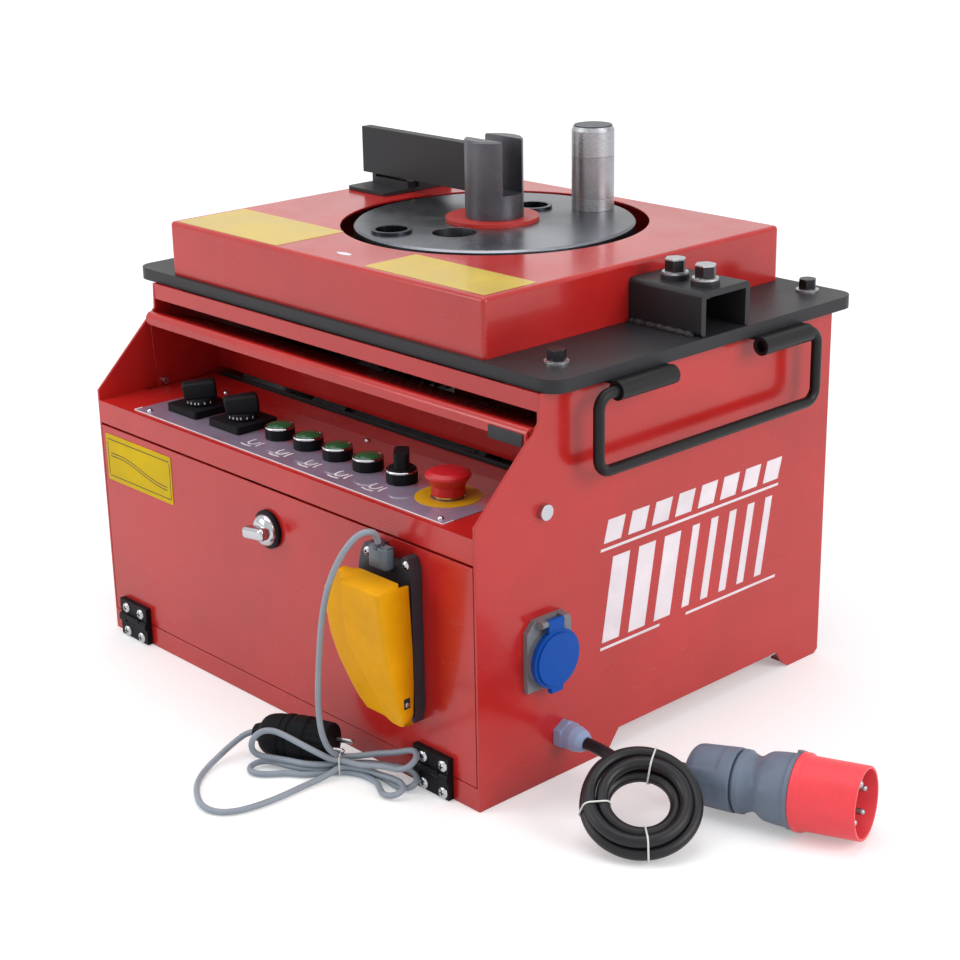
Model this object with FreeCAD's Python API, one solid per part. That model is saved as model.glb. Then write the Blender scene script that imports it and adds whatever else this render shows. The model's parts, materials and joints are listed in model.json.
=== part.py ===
import FreeCAD, Part
import math
import os

# Bench machine that bends reinforcing bar. Millimetres, +Z up.
# Pieces are modelled with y = 0 on the door and moved at the end, so that the origin is
# on the floor under the middle of the machine.

# Body of the machine
body_left = -269.0
body_right = 291.0
sheet = 2.5
body_top = 357.0
body_depth = 465.0
inner_left = body_left + sheet
inner_right = body_right - sheet
door_top = 224.0
door_gap = 2.5
sill_top = 21.5
shelf_z = 249.5
shelf_back = 139.5
thin = 2.0

# Table, cover and disc
table_half = 304.0
table_front = 79.0
table_back = 485.0
table_thick = 12.0
table_top = body_top + table_thick
cover_left = -244.4
cover_right = 215.2
cover_front = 84.6
cover_back = 476.3
cover_top = 423.0
cover_hole = 152.6
disc_x = -4.7
disc_y = 306.0
disc_radius = 139.3
disc_top = 424.0
disc_thick = 25.0
outer_holes = 111.0
outer_angle = 73.0
inner_holes = 68.0
inner_angle = 102.0
running_gap = 0.05

# Pins
centre_pin_radius = 29.0
centre_pin_top = 505.0
centre_shank = 20.0
slot_width = 26.0
slot_floor = 452.0
pin_radius = 21.5
pin_top = 508.5
pin_shank = 15.7
roller_bottom = 436.5
roller_top = 478.0

# Gears
gear_module = 4.0
main_teeth = 60
pinion_teeth = 15
gear_bottom = 285.0
gear_thick = 25.0
tooth_backlash = 0.8

# Carrying handles
handle_x = 311.5
handle_z = 349.0
rod_radius = 5.0
lug_outer = 8.5
lug_gap = 0.3
handle_front = 124.0
handle_back = 416.0
handle_low = 281.0

# Controls
button_places = (-37.5, 5.7, 48.8, 92.0)
button_y = 54.0
bezel_radius = 14.2
cap_radius = 12.0
selector_place = (139.6, 53.0)
stop_place = (197.8, 55.7)
switch_places = ((-163.0, 52.0), (-93.5, 52.0))
switch_turn = 58.0

# Lid over the controls, drawn open
lid_pivot = (78.0, 254.5)
lid_gap = 0.8
lid_sheet = 1.5
lid_path = [(62.0, 317.4), (62.0, 331.7), (145.0, 305.0), (152.2, 254.1)]
lid_bends = (6.0, 4.0)

# Door hinges, pedal and latch
hinge_axis = (-4.4, 21.0)
hinge_spans = ((-250.0, -203.0), (212.0, 258.0))
knuckle_radius = 4.0
latch_place = (11.0, 185.0)
pedal_depth = 52.0
pedal_pivot = (-23.0, 88.7)
pedal_pin = 2.5

# Wall socket and gland on the right panel
socket_y = 80.0
socket_z = 123.0
lid_hinge = (302.0, 157.0)
gland_y = 101.0
gland_z = 40.0

# Cords
lead_radius = 5.5
coil_centre = (417.6, 64.0, 33.0)
coil_radius = 38.0
coil_bundle = 14.0
coil_tilt = 30.0
coil_heading = 47.3
lead_run = [(320.1, 101.0, 40.0), (337.0, 101.0, 40.0), (356.0, 101.4, 37.2), (376.0, 100.6, 34.4),
            (396.0, 101.2, 36.0), (413.0, 101.0, 41.0)]
lead_tail = [(386.0, 46.0, 42.0), (376.4, 57.5, 45.0), (369.7, 75.8, 47.5), (370.4, 95.3, 47.0),
             (378.3, 113.1, 43.0), (405.0, 142.8, 28.5)]
cord_radius = 3.0
cord_drop = [(191.0, -19.0, 226.2), (193.0, -22.5, 235.0), (195.0, -31.0, 240.5), (192.0, -40.0, 240.0),
             (185.0, -47.0, 230.0), (175.0, -52.0, 212.0), (165.5, -56.0, 188.0), (157.5, -58.0, 155.0),
             (152.0, -58.5, 115.0), (150.0, -60.0, 80.0), (152.5, -60.0, 52.0), (153.5, -54.0, 30.0),
             (150.5, -43.0, 13.0)]
cord_loop = [(148.0, -46.0, 5.0), (149.5, -78.0, 3.4), (152.0, -114.0, 3.4), (147.0, -146.0, 3.4),
             (130.0, -166.0, 3.4), (105.0, -166.0, 3.4), (82.0, -149.0, 3.4), (64.0, -124.0, 3.6),
             (55.0, -100.0, 6.0), (54.5, -83.0, 12.0), (59.0, -73.0, 18.5), (66.0, -69.5, 21.6)]
hank_arch = [(151.0, -51.0, 9.0), (145.0, -62.0, 26.0), (123.7, -67.5, 32.5), (106.0, -76.0, 37.0),
             (101.0, -90.0, 36.0), (97.5, -88.0, 22.0), (95.5, -85.0, 8.0)]
pedal_plug_ends = ((66.0, -69.5, 21.7), (136.0, -35.0, 21.7))
mains_plug_ends = ((404.6, 142.7, 28.6), (552.0, 190.0, 37.0))

door_y = -(table_back - pedal_depth) / 2.0


def vec(x, y, z):
    return FreeCAD.Vector(x, y, z)


def box(x0, x1, y0, y1, z0, z1):
    return Part.makeBox(x1 - x0, y1 - y0, z1 - z0, vec(x0, y0, z0))


def rod(radius, start, end):
    a = vec(*start)
    b = vec(*end)
    return Part.makeCylinder(radius, (b - a).Length, a, b - a)


def upright(radius, x, y, z0, z1):
    return rod(radius, (x, y, z0), (x, y, z1))


def ring(outer, inner, x, y, z0, z1):
    return upright(outer, x, y, z0, z1).cut(upright(inner, x, y, z0 - 1, z1 + 1))


def prism_x(points, x0, x1):
    wire = Part.makePolygon([vec(x0, y, z) for y, z in points + [points[0]]])
    return Part.Face(wire).extrude(vec(x1 - x0, 0, 0))


def prism_y(points, y0, y1):
    wire = Part.makePolygon([vec(x, y0, z) for x, z in points + [points[0]]])
    return Part.Face(wire).extrude(vec(0, y1 - y0, 0))


def prism_z(points, z0, z1):
    wire = Part.makePolygon([vec(x, y, z0) for x, y in points + [points[0]]])
    return Part.Face(wire).extrude(vec(0, 0, z1 - z0))


def edges_along(shape, axis, test=None):
    # straight edges parallel to an axis, for rounding
    found = []
    for edge in shape.Edges:
        if not isinstance(edge.Curve, (Part.Line, Part.LineSegment)):
            continue
        way = edge.Vertexes[-1].Point - edge.Vertexes[0].Point
        if abs(way.getAngle(axis) % math.pi) < 1e-6 or abs(way.getAngle(axis) - math.pi) < 1e-6:
            if test is None or test(edge.CenterOfMass):
                found.append(edge)
    return found


def rounded_box(x0, x1, y0, y1, z0, z1, corner):
    solid = box(x0, x1, y0, y1, z0, z1)
    return solid.makeFillet(corner, edges_along(solid, vec(0, 0, 1)))


def hexagon(across, x, y, z0, z1):
    reach = across / math.sqrt(3.0)
    points = [(x + reach * math.cos(math.radians(60 * i)), y + reach * math.sin(math.radians(60 * i)))
              for i in range(6)]
    return prism_z(points, z0, z1)


def fuse(first, *others):
    result = first.multiFuse(list(others))
    return result.removeSplitter()


def turned_profile(points, x, y):
    # points are (radius, z) pairs of a closed outline that is turned about an upright line
    wire = Part.makePolygon([vec(x + r, y, z) for r, z in points + [points[0]]])
    return Part.Face(wire).revolve(vec(x, y, 0), vec(0, 0, 1), 360)


def turned_along(points, start, end):
    # points are (distance, radius) pairs of a closed outline that is turned about start to end
    axis = (vec(*end) - vec(*start)).normalize()
    side = axis.cross(vec(0, 0, 1)).normalize()
    outline = [vec(*start) + axis * d + side * r for d, r in points + [points[0]]]
    return Part.Face(Part.makePolygon(outline)).revolve(vec(*start), axis, 360)


def bent_sheet(path, bends, thick, x0, x1):
    # sheet folded along x, given by its outer (y, z) path and the outer radius of each bend
    spots = [vec(x0, y, z) for y, z in path]
    outer = [spots[0]]
    inner = []
    edges = []
    first_way = (spots[1] - spots[0]).normalize()
    inward = vec(0, first_way.z, -first_way.y)
    inner_start = spots[0] + inward * thick
    inner.append(inner_start)
    for before, corner, after, bend in zip(spots, spots[1:], spots[2:], bends):
        back = (before - corner).normalize()
        ahead = (after - corner).normalize()
        half_turn = (math.pi - back.getAngle(ahead)) / 2.0
        reach = bend * math.tan(half_turn)
        towards = (back + ahead).normalize()
        centre = corner + towards * (bend / math.cos(half_turn))
        ends = [corner + back * reach, centre - towards * bend, corner + ahead * reach]
        outer.extend(ends)
        inner.extend([centre + (end - centre) * ((bend - thick) / bend) for end in ends])
    last_way = (spots[-1] - spots[-2]).normalize()
    outer.append(spots[-1])
    inner.append(spots[-1] + vec(0, last_way.z, -last_way.y) * thick)
    for side in (outer, inner):
        for i in range(0, len(side) - 1, 3):
            edges.append(Part.LineSegment(side[i], side[i + 1]).toShape())
            if i + 3 < len(side):
                edges.append(Part.Arc(side[i + 1], side[i + 2], side[i + 3]).toShape())
    edges.append(Part.LineSegment(outer[0], inner[0]).toShape())
    edges.append(Part.LineSegment(outer[-1], inner[-1]).toShape())
    wire = Part.Wire(Part.__sortEdges__(edges))
    return Part.Face(wire).extrude(vec(x1 - x0, 0, 0))


def cord_tube(name, points, radius):
    # straight runs joined by tangent arcs, each as large as its two runs allow
    spots = [vec(*p) for p in points]
    edges = []
    radii = []
    here = spots[0]
    for before, corner, after in zip(spots, spots[1:], spots[2:]):
        back = before - corner
        ahead = after - corner
        half_turn = (math.pi - back.getAngle(ahead)) / 2.0
        reach = 0.45 * min(back.Length, ahead.Length)
        radii.append(reach / math.tan(half_turn))
        first = corner + back.normalize() * reach
        last = corner + ahead.normalize() * reach
        towards = (back + ahead).normalize()
        bend = radii[-1]
        centre = corner + towards * (bend / math.cos(half_turn))
        middle = centre - towards * bend
        edges.append(Part.LineSegment(here, first).toShape())
        edges.append(Part.Arc(first, middle, last).toShape())
        here = last
    edges.append(Part.LineSegment(here, spots[-1]).toShape())
    path = Part.Wire(edges)
    start = (spots[1] - spots[0]).normalize()
    circle = Part.Wire([Part.makeCircle(radius, spots[0], start)])
    tube = path.makePipeShell([circle], True, True)
    ideal = math.pi * radius ** 2 * path.Length
    print(name, "length", round(path.Length, 1), "radii", [round(r) for r in radii],
          "volume ratio", round(tube.Volume / ideal, 4))
    return tube


def gear(teeth, x, y, z0, z1, bore, turn, thinner):
    # straight-sided teeth; the tooth is thinner than half the pitch by the stated play
    pitch = gear_module * teeth / 2.0
    root = pitch - 1.25 * gear_module
    tip = pitch + gear_module
    base_half = 0.37 * math.pi * gear_module - thinner / 2.0
    tip_half = 0.13 * math.pi * gear_module - thinner / 2.0
    solid = upright(root, x, y, z0, z1)
    cutters = []
    for i in range(teeth):
        angle = turn + 360.0 * i / teeth
        tooth = prism_z([(x + root - 1.0, y - base_half), (x + tip, y - tip_half),
                         (x + tip, y + tip_half), (x + root - 1.0, y + base_half)], z0, z1)
        tooth.rotate(vec(x, y, 0), vec(0, 0, 1), angle)
        cutters.append(tooth)
    solid = solid.multiFuse(cutters).removeSplitter()
    return solid.cut(upright(bore, x, y, z0 - 1, z1 + 1))


def hex_screw(x, y, under_head, across, head_height, shank_radius, shank_end):
    head = hexagon(across, x, y, under_head, under_head + head_height)
    crown = Part.makeCone(across / 1.4, across / 2.0 - 1.0, across / 4.0, vec(x, y, under_head + head_height - 2.6))
    crown = fuse(crown, upright(across, x, y, under_head, under_head + head_height - 2.5))
    return fuse(head.common(crown), upright(shank_radius, x, y, shank_end, under_head))


def save(name, shape):
    shape = shape.copy()
    shape.translate(vec(0, door_y, 0))
    if not shape.isValid():
        print("not valid:", name)
    shape.exportStep("parts/" + name + ".step")


# Side panels with feet and a flange under the table

side_outline = [(0, 0), (0, 260), (74, 332), (75, body_top), (body_depth, body_top), (body_depth, 4),
                (460, 0), (418, 0), (410, 5), (399, 21), (386, 20), (173, 19.5), (158, 0)]
flange_width = 42.0
foot_width = 20.0


def side_panel(outer, inward):
    inner = outer + inward * sheet
    panel = prism_x(side_outline, min(outer, inner), max(outer, inner))
    top_end = inner + inward * flange_width
    foot_end = inner + inward * foot_width
    top = box(min(inner, top_end), max(inner, top_end), 80, 474, body_top - sheet, body_top)
    front_foot = box(min(inner, foot_end), max(inner, foot_end), 4, 154, 0, sheet)
    rear_foot = box(min(inner, foot_end), max(inner, foot_end), 420, 458, 0, sheet)
    solid = fuse(panel, top, front_foot, rear_foot)
    for bolt_y in table_bolt_rows:
        bolt_x = table_bolts_right if outer > 0 else table_bolts_left
        solid = solid.cut(upright(bolt_radius + 0.25, bolt_x, bolt_y, 340, 370))
    pivot = rod(pivot_bolt_radius, (outer - 10, *lid_pivot), (outer + 10, *lid_pivot))
    return solid.cut(pivot)


table_bolts_right = 263.0
table_bolts_left = -255.8
table_bolt_rows = (123.0, 462.0)
bolt_radius = 5.0
pivot_bolt_radius = 4.0


def side_panel_right():
    panel = side_panel(body_right, -1)
    panel = panel.cut(rod(22.0, (280, socket_y, socket_z), (300, socket_y, socket_z)))
    return panel.cut(rod(10.0, (280, gland_y, gland_z), (300, gland_y, gland_z)))


# Floor pan with the sill under the door, rear panel with air slots, band and console

rear_y = 447.0
band_bottom = 341.3
notch_wide = 4.5
notch_front = 54.0


def base_pan():
    floor = box(inner_left, inner_right, 0, 461, 19.9, sill_top)
    sill = box(inner_left, inner_right, 0, thin, 0, sill_top)
    return fuse(floor, sill)


def rear_panel():
    panel = box(inner_left, inner_right, rear_y, rear_y + thin, sill_top, body_top - sheet)
    slot_long = 60.0
    slot_high = 6.0
    for column in range(5):
        for row in range(6):
            x = -190.0 + column * 85.0
            z = 90.0 + row * 22.0
            panel = panel.cut(box(x, x + slot_long, rear_y - 1, rear_y + thin + 1, z, z + slot_high))
    return panel


def upper_front_band():
    face = box(inner_left, inner_right, 75, 75 + thin, band_bottom, body_top)
    lower = box(inner_left, inner_right, 75, 92, band_bottom, band_bottom + thin)
    return fuse(face, lower)


def console_panel():
    shelf = box(inner_left, inner_right, 0, shelf_back, shelf_z - thin, shelf_z)
    lip = box(inner_left, inner_right, 0, thin, door_top + door_gap, shelf_z)
    back = box(inner_left, inner_right, shelf_back - thin, shelf_back, shelf_z - 12, shelf_z)
    panel = fuse(shelf, lip, back)
    for x0, x1 in ((inner_left - 1, inner_left + notch_wide), (inner_right - notch_wide, inner_right + 1)):
        panel = panel.cut(box(x0, x1, notch_front, shelf_back + 1, shelf_z - 20, shelf_z + 1))
    return panel


# Table plate with bosses for the fence, red cover over it

fence_bolts = ((-220.0, 388.0), (-196.0, 388.0))


def table_plate():
    plate = rounded_box(-table_half, table_half, table_front, table_back, body_top, table_top, 18.0)
    bosses = [upright(11.5, x, y, table_top, cover_top - thin) for x, y in fence_bolts]
    plate = fuse(plate, *bosses)
    plate = plate.cut(upright(42.0, disc_x, disc_y, body_top - 1, table_top + 1))
    for x, y in fence_bolts:
        plate = plate.cut(upright(bolt_radius, x, y, body_top - 1, cover_top))
    for x in (table_bolts_left, table_bolts_right):
        for y in table_bolt_rows:
            plate = plate.cut(upright(bolt_radius + 0.25, x, y, body_top - 1, table_top + 1))
    return plate


def disc_cover():
    outer = box(cover_left, cover_right, cover_front, cover_back, table_top, cover_top)
    outer = outer.makeFillet(4.0, edges_along(outer, vec(0, 0, 1)))
    rim = [edge for edge in outer.Edges if abs(edge.CenterOfMass.z - cover_top) < 1e-6]
    outer = outer.makeFillet(3.9, rim)
    inner = box(cover_left + thin, cover_right - thin, cover_front + thin, cover_back - thin,
                table_top - 1, cover_top - thin)
    shell = outer.cut(inner)
    shell = shell.cut(upright(cover_hole, disc_x, disc_y, cover_top - 20, cover_top + 1))
    for x, y in fence_bolts:
        shell = shell.cut(upright(bolt_radius + 0.5, x, y, cover_top - 10, cover_top + 1))
    return shell


# Square socket for tools, its screws, the table bolts and the fence bolts

socket_front = 263.2
socket_back = 328.7
socket_top = 409.6
socket_wall = 6.0
socket_end = 301.7
boss_height = 5.0
socket_screws = ((248.7, 288.0), (284.0, 288.0))


def tool_socket():
    tube = box(cover_right, socket_end, socket_front, socket_back, table_top, socket_top)
    long_edges = edges_along(tube, vec(1, 0, 0))
    tube = tube.makeFillet(5.0, long_edges)
    bosses = [upright(13.0, x, y, socket_top - 3, socket_top + boss_height) for x, y in socket_screws]
    tube = fuse(tube, *bosses)
    hollow = box(cover_right - 1, socket_end + 1, socket_front + socket_wall, socket_back - socket_wall,
                 table_top - 1, socket_top - socket_wall)
    tube = tube.cut(hollow)
    for x, y in socket_screws:
        tube = tube.cut(upright(bolt_radius, x, y, socket_top - 10, socket_top + 10))
    return tube


def cap_screws():
    pieces = []
    for x in (table_bolts_left, table_bolts_right):
        for y in table_bolt_rows:
            pieces.append(ring(11.0, 5.3, x, y, table_top, table_top + 2))
            pieces.append(hex_screw(x, y, table_top + 2, 15.0, 10.0, bolt_radius, 345.0))
            nut = hexagon(16.0, x, y, 346.0, body_top - sheet)
            pieces.append(nut.cut(upright(bolt_radius, x, y, 340, 360)))
    for x, y in socket_screws:
        top = socket_top + boss_height
        pieces.append(ring(12.0, 5.3, x, y, top, top + 2))
        pieces.append(hex_screw(x, y, top + 2, 17.0, 12.0, bolt_radius, socket_top - 12))
    for x, y in fence_bolts:
        pieces.append(ring(10.0, 5.3, x, y, foot_top + 0.2, foot_top + 2.2))
        pieces.append(hex_screw(x, y, foot_top + 2.2, 15.0, 10.0, bolt_radius, body_top))
    return Part.makeCompound(pieces)


# Fence: upright plate on a slotted foot, with a shoe in front and gussets behind

foot_bottom = cover_top + 0.3
foot_top = 427.0
fence_front = 345.0
fence_back = 357.0
fence_slot_back = 5.0
fence_slot_front = 15.0


def fence():
    foot = rounded_box(-240, -176, 310, 407, foot_bottom, foot_top, 6.0)
    plate = box(-253, -60, fence_front, fence_back, 436, 485)
    shoe = box(-238, -180, fence_front, fence_back, foot_top, 433)
    post = box(-238, -232, fence_front, fence_back, 433, 436)
    left = prism_x([(fence_back, foot_top), (404, foot_top), (404, 436), (fence_back, 480)], -240, -232)
    right = prism_x([(fence_back, foot_top), (404, foot_top), (404, 436), (fence_back, 480)], -184, -176)
    solid = fuse(foot, plate, shoe, post, left, right)
    for x, y in fence_bolts:
        half = bolt_radius + 0.5
        long_hole = box(x - half, x + half, y - fence_slot_front, y + fence_slot_back, foot_bottom - 1, foot_top + 0.1)
        ends = [upright(half, x, y - fence_slot_front, foot_bottom - 1, foot_top + 0.1),
                upright(half, x, y + fence_slot_back, foot_bottom - 1, foot_top + 0.1)]
        solid = solid.cut(fuse(long_hole, *ends))
    return solid


# Turntable: disc with hub, bushes, washer, spindle and main gear

def polar(radius, angle):
    return (disc_x + radius * math.cos(math.radians(angle)), disc_y + radius * math.sin(math.radians(angle)))


pin_place = polar(outer_holes, outer_angle)
outer_bush_place = polar(outer_holes, outer_angle + 180)
inner_bush_place = polar(inner_holes, inner_angle)
plain_hole_place = polar(inner_holes, inner_angle + 180)
bush_sleeve = 18.0
bush_bore = 15.75
plain_hole = 21.75
hub_radius = 60.0
hub_bottom = table_top + 2
disc_bottom = disc_top - disc_thick
spindle_radius = 30.0


def turntable_disc():
    bevel = 2.0
    disc = turned_profile([(0, disc_bottom), (disc_radius, disc_bottom), (disc_radius, disc_top - bevel),
                           (disc_radius - bevel, disc_top), (0, disc_top)], disc_x, disc_y)
    hub = upright(hub_radius, disc_x, disc_y, hub_bottom, disc_bottom)
    disc = fuse(disc, hub)
    disc = disc.cut(upright(centre_shank + running_gap, disc_x, disc_y, disc_bottom, disc_top + 1))
    disc = disc.cut(upright(spindle_radius, disc_x, disc_y, hub_bottom - 1, disc_bottom))
    for x, y in (pin_place, outer_bush_place, inner_bush_place):
        disc = disc.cut(upright(bush_sleeve, x, y, hub_bottom - 1, disc_top + 1))
    x, y = plain_hole_place
    return disc.cut(upright(plain_hole, x, y, disc_bottom, disc_top + 1))


def disc_bushes():
    pieces = []
    for x, y in (outer_bush_place, inner_bush_place):
        sleeve = upright(bush_sleeve, x, y, disc_bottom, disc_top)
        collar = upright(20.0, x, y, disc_top, disc_top + 3)
        pieces.append(fuse(sleeve, collar).cut(upright(bush_bore, x, y, disc_bottom - 1, disc_top + 5)))
    x, y = pin_place
    pieces.append(ring(bush_sleeve, bush_bore, x, y, disc_bottom, disc_top))
    return Part.makeCompound(pieces)


def centre_washer():
    return ring(46.5, 24.7, disc_x - 3.0, disc_y, disc_top, disc_top + 4)


def spindle():
    shaft = upright(spindle_radius, disc_x, disc_y, 270, disc_bottom)
    collar = upright(36.0, disc_x, disc_y, 354.4, 357.4)
    nut = upright(38.0, disc_x, disc_y, 270, 284)
    solid = fuse(shaft, collar, nut)
    bore = upright(centre_shank + running_gap, disc_x, disc_y, 370, disc_bottom + 1)
    return solid.cut(bore)


def main_gear():
    wheel = gear(main_teeth, disc_x, disc_y, gear_bottom, gear_bottom + gear_thick, spindle_radius, 0.0,
                 tooth_backlash)
    for i in range(6):
        angle = 30.0 + 60.0 * i
        x, y = polar(76.0, angle)
        wheel = wheel.cut(upright(17.0, x, y, gear_bottom - 1, gear_bottom + gear_thick + 1))
    return wheel


# Drive under the table

output_x = disc_x + gear_module * (main_teeth + pinion_teeth) / 2.0
output_y = disc_y
output_shaft_radius = 15.0
bearing_radius = 42.0
motor_y = 243.0
motor_z = 175.0
motor_radius = 70.0


def bearing_housing():
    flange = upright(75.0, disc_x, disc_y, 347, body_top)
    barrel = upright(50.0, disc_x, disc_y, 313, 347)
    housing = fuse(flange, barrel)
    housing = housing.cut(upright(bearing_radius, disc_x, disc_y, 312, body_top + 1))
    for i in range(6):
        angle = math.radians(60.0 * i)
        x = disc_x + 63.0 * math.cos(angle)
        y = disc_y + 63.0 * math.sin(angle)
        housing = housing.cut(upright(4.5, x, y, 346, body_top + 1))
    return housing


def spindle_bearings():
    inner = spindle_radius + running_gap
    return Part.makeCompound([ring(bearing_radius, inner, disc_x, disc_y, 313.5, 328.0),
                              ring(bearing_radius, inner, disc_x, disc_y, 339.5, 354.0)])


def reducer_case():
    case = rounded_box(85, 205, 218, 366, 115, 235, 14.0)
    neck = upright(32.0, output_x, output_y, 235, 268)
    legs = [box(92, 104, 226, 358, sill_top, 115), box(186, 198, 226, 358, sill_top, 115)]
    case = fuse(case, neck, *legs)
    hollow = rounded_box(95, 195, 228, 356, 125, 225, 8.0)
    case = case.cut(hollow)
    return case.cut(upright(output_shaft_radius + running_gap, output_x, output_y, 200, 270))


def output_shaft():
    shaft = upright(output_shaft_radius, output_x, output_y, 165, 312)
    wheel = upright(46.0, output_x, output_y, 168, 190)
    return fuse(shaft, wheel)


def drive_pinion():
    # turned half a tooth, so that a gap faces the main gear's tooth
    return gear(pinion_teeth, output_x, output_y, gear_bottom, gear_bottom + gear_thick,
                output_shaft_radius, 180.0 + 180.0 / pinion_teeth, tooth_backlash)


def drive_motor():
    flange = rod(62.0, (73, motor_y, motor_z), (85, motor_y, motor_z))
    barrel = rod(motor_radius - 6.0, (-122, motor_y, motor_z), (73, motor_y, motor_z))
    motor = fuse(flange, barrel)
    fins = []
    for i in range(24):
        fin = box(-110, 60, motor_y - 1.5, motor_y + 1.5, motor_z + motor_radius - 8, motor_z + motor_radius)
        fin.rotate(vec(0, motor_y, motor_z), vec(1, 0, 0), 15.0 * i)
        fins.append(fin)
    terminal_box = box(-60, 20, 160, 182, 140, 210)
    motor = fuse(motor, *fins, terminal_box)
    cover = rod(motor_radius + 2, (-168, motor_y, motor_z), (-115, motor_y, motor_z))
    hollow = rod(motor_radius, (-165.5, motor_y, motor_z), (-114, motor_y, motor_z))
    cover = cover.cut(hollow)
    for i in range(12):
        slot = box(-170, -164, motor_y - 2.5, motor_y + 2.5, motor_z + 26, motor_z + 60)
        slot.rotate(vec(0, motor_y, motor_z), vec(1, 0, 0), 30.0 * i)
        cover = cover.cut(slot)
    return Part.makeCompound([motor, cover])


def control_box():
    case = rounded_box(-258, -182, 170, 410, 60, 250, 6.0)
    case = case.cut(box(-255, -185, 173, 407, 63, 247))
    feet = [box(-258, -182, 180, 192, sill_top, 60), box(-258, -182, 388, 400, sill_top, 60)]
    rail = box(-252, -240, 180, 400, 140, 147)
    wall = [box(-255, -252, 180, 400, 140, 147)]
    blocks = [box(-240, -200, 190 + 50 * i, 230 + 50 * i, 105, 180) for i in range(4)]
    return fuse(case, *feet, rail, *wall, *blocks)


# Pins on the turntable

def centre_pin():
    bottom = disc_top + 4.1
    chamfer = 1.5
    body = turned_profile([(0, bottom), (centre_pin_radius, bottom), (centre_pin_radius, centre_pin_top - chamfer),
                           (centre_pin_radius - chamfer, centre_pin_top), (0, centre_pin_top)], disc_x, disc_y)
    shank = upright(centre_shank, disc_x, disc_y, 374, bottom)
    half = slot_width / 2.0
    slot = box(disc_x - 40, disc_x + 40, disc_y - half, disc_y + half, slot_floor, centre_pin_top + 1)
    return fuse(body, shank).cut(slot)


def bending_pin():
    x, y = pin_place
    bottom = disc_top + 0.1
    core = 15.0
    chamfer = 5.0
    points = [(0, 401), (pin_shank, 401), (pin_shank, bottom), (pin_radius, bottom), (pin_radius, roller_bottom - 0.2),
              (core, roller_bottom - 0.2), (core, roller_top + 0.2), (pin_radius, roller_top + 0.2),
              (pin_radius, pin_top - chamfer), (pin_radius - 2.5, pin_top), (0, pin_top)]
    return turned_profile(points, x, y)


def bending_roller():
    x, y = pin_place
    return ring(pin_radius, 15.0 + running_gap, x, y, roller_bottom, roller_top)


# Controls on the console

def switch_bases():
    half = 24.0
    pieces = []
    for x, y in switch_places:
        pieces.append(rounded_box(x - half, x + half, y - half, y + half, shelf_z, shelf_z + 8.0, 2.5))
    return Part.makeCompound(pieces)


def cam_knob(place):
    x, y = place
    dial = upright(14.5, x, y, shelf_z + 8.3, shelf_z + 15.0)
    low = (17.0, 8.5)
    high = (15.5, 7.5)
    z_low = shelf_z + 13.0
    z_high = shelf_z + 30.0
    wires = []
    for half_long, half_thick, z in ((*low, z_low), (*high, z_high)):
        corners = [vec(x + sx * half_long, y + sy * half_thick, z) for sx, sy in ((-1, -1), (1, -1), (1, 1), (-1, 1))]
        wires.append(Part.makePolygon(corners + [corners[0]]))
    grip = Part.makeLoft(wires, True, True)
    grip.rotate(vec(x, y, 0), vec(0, 0, 1), switch_turn)
    return fuse(dial, grip)


def button_bezels():
    pieces = []
    for x in button_places:
        pieces.append(ring(bezel_radius, cap_radius + 0.3, x, button_y, shelf_z, shelf_z + 11.5))
    x, y = selector_place
    pieces.append(ring(bezel_radius, cap_radius + 0.3, x, y, shelf_z, shelf_z + 11.5))
    x, y = stop_place
    pieces.append(ring(13.4, 7.5, x, y, shelf_z, shelf_z + 0.8))
    return Part.makeCompound(pieces)


def green_button(x):
    low = shelf_z + 4.8
    rim = shelf_z + 12.5
    points = [(0, low), (cap_radius, low), (cap_radius, rim), (11.0, rim + 1.0), (8.0, rim + 2.1), (4.0, rim + 2.8),
              (0, rim + 3.0)]
    return turned_profile(points, x, button_y)


def selector_knob():
    x, y = selector_place
    disc = upright(cap_radius, x, y, shelf_z + 2.0, shelf_z + 14.0)
    lever = rounded_box(x - 6.5, x + 6.5, y - 10.0, y + 14.0, shelf_z + 14.0, shelf_z + 28.5, 4.0)
    lever.rotate(vec(x, y, 0), vec(0, 0, 1), 45.0)
    return fuse(disc, lever)


def estop_plate():
    x, y = stop_place
    return ring(29.5, 15.6, x, y, shelf_z, shelf_z + 1.0)


def estop_stem():
    x, y = stop_place
    return upright(6.5, x, y, shelf_z + 3.6, shelf_z + 9.5)


def estop_head():
    x, y = stop_place
    low = shelf_z + 3.6
    points = [(13.9, low), (14.9, low), (15.0, low + 8.0), (20.3, low + 16.5), (19.8, low + 18.5),
              (15.0, low + 20.8), (0, low + 21.8), (0, low + 6.2), (6.8, low + 6.2), (6.8, low + 4.2), (13.9, low + 4.2)]
    return turned_profile(points, x, y)


# Lid over the controls: front rail, sloping sheet and two cheeks, on two pivot bolts

lid_left = inner_left + lid_gap
lid_right = inner_right - lid_gap


def control_cover():
    folded = bent_sheet(lid_path, lid_bends, lid_sheet, lid_left, lid_right)
    cheek = [(69.5, 247.2), (65.5, 329.6), (142.6, 304.7), (144.2, 303.0), (151.2, 254.1), (97.0, 247.2)]
    left = prism_x(cheek, lid_left, lid_left + lid_sheet)
    right = prism_x(cheek, lid_right - lid_sheet, lid_right)
    cover = fuse(folded, left, right)
    hole = rod(pivot_bolt_radius + running_gap, (-300, *lid_pivot), (300, *lid_pivot))
    return cover.cut(hole)


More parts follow.
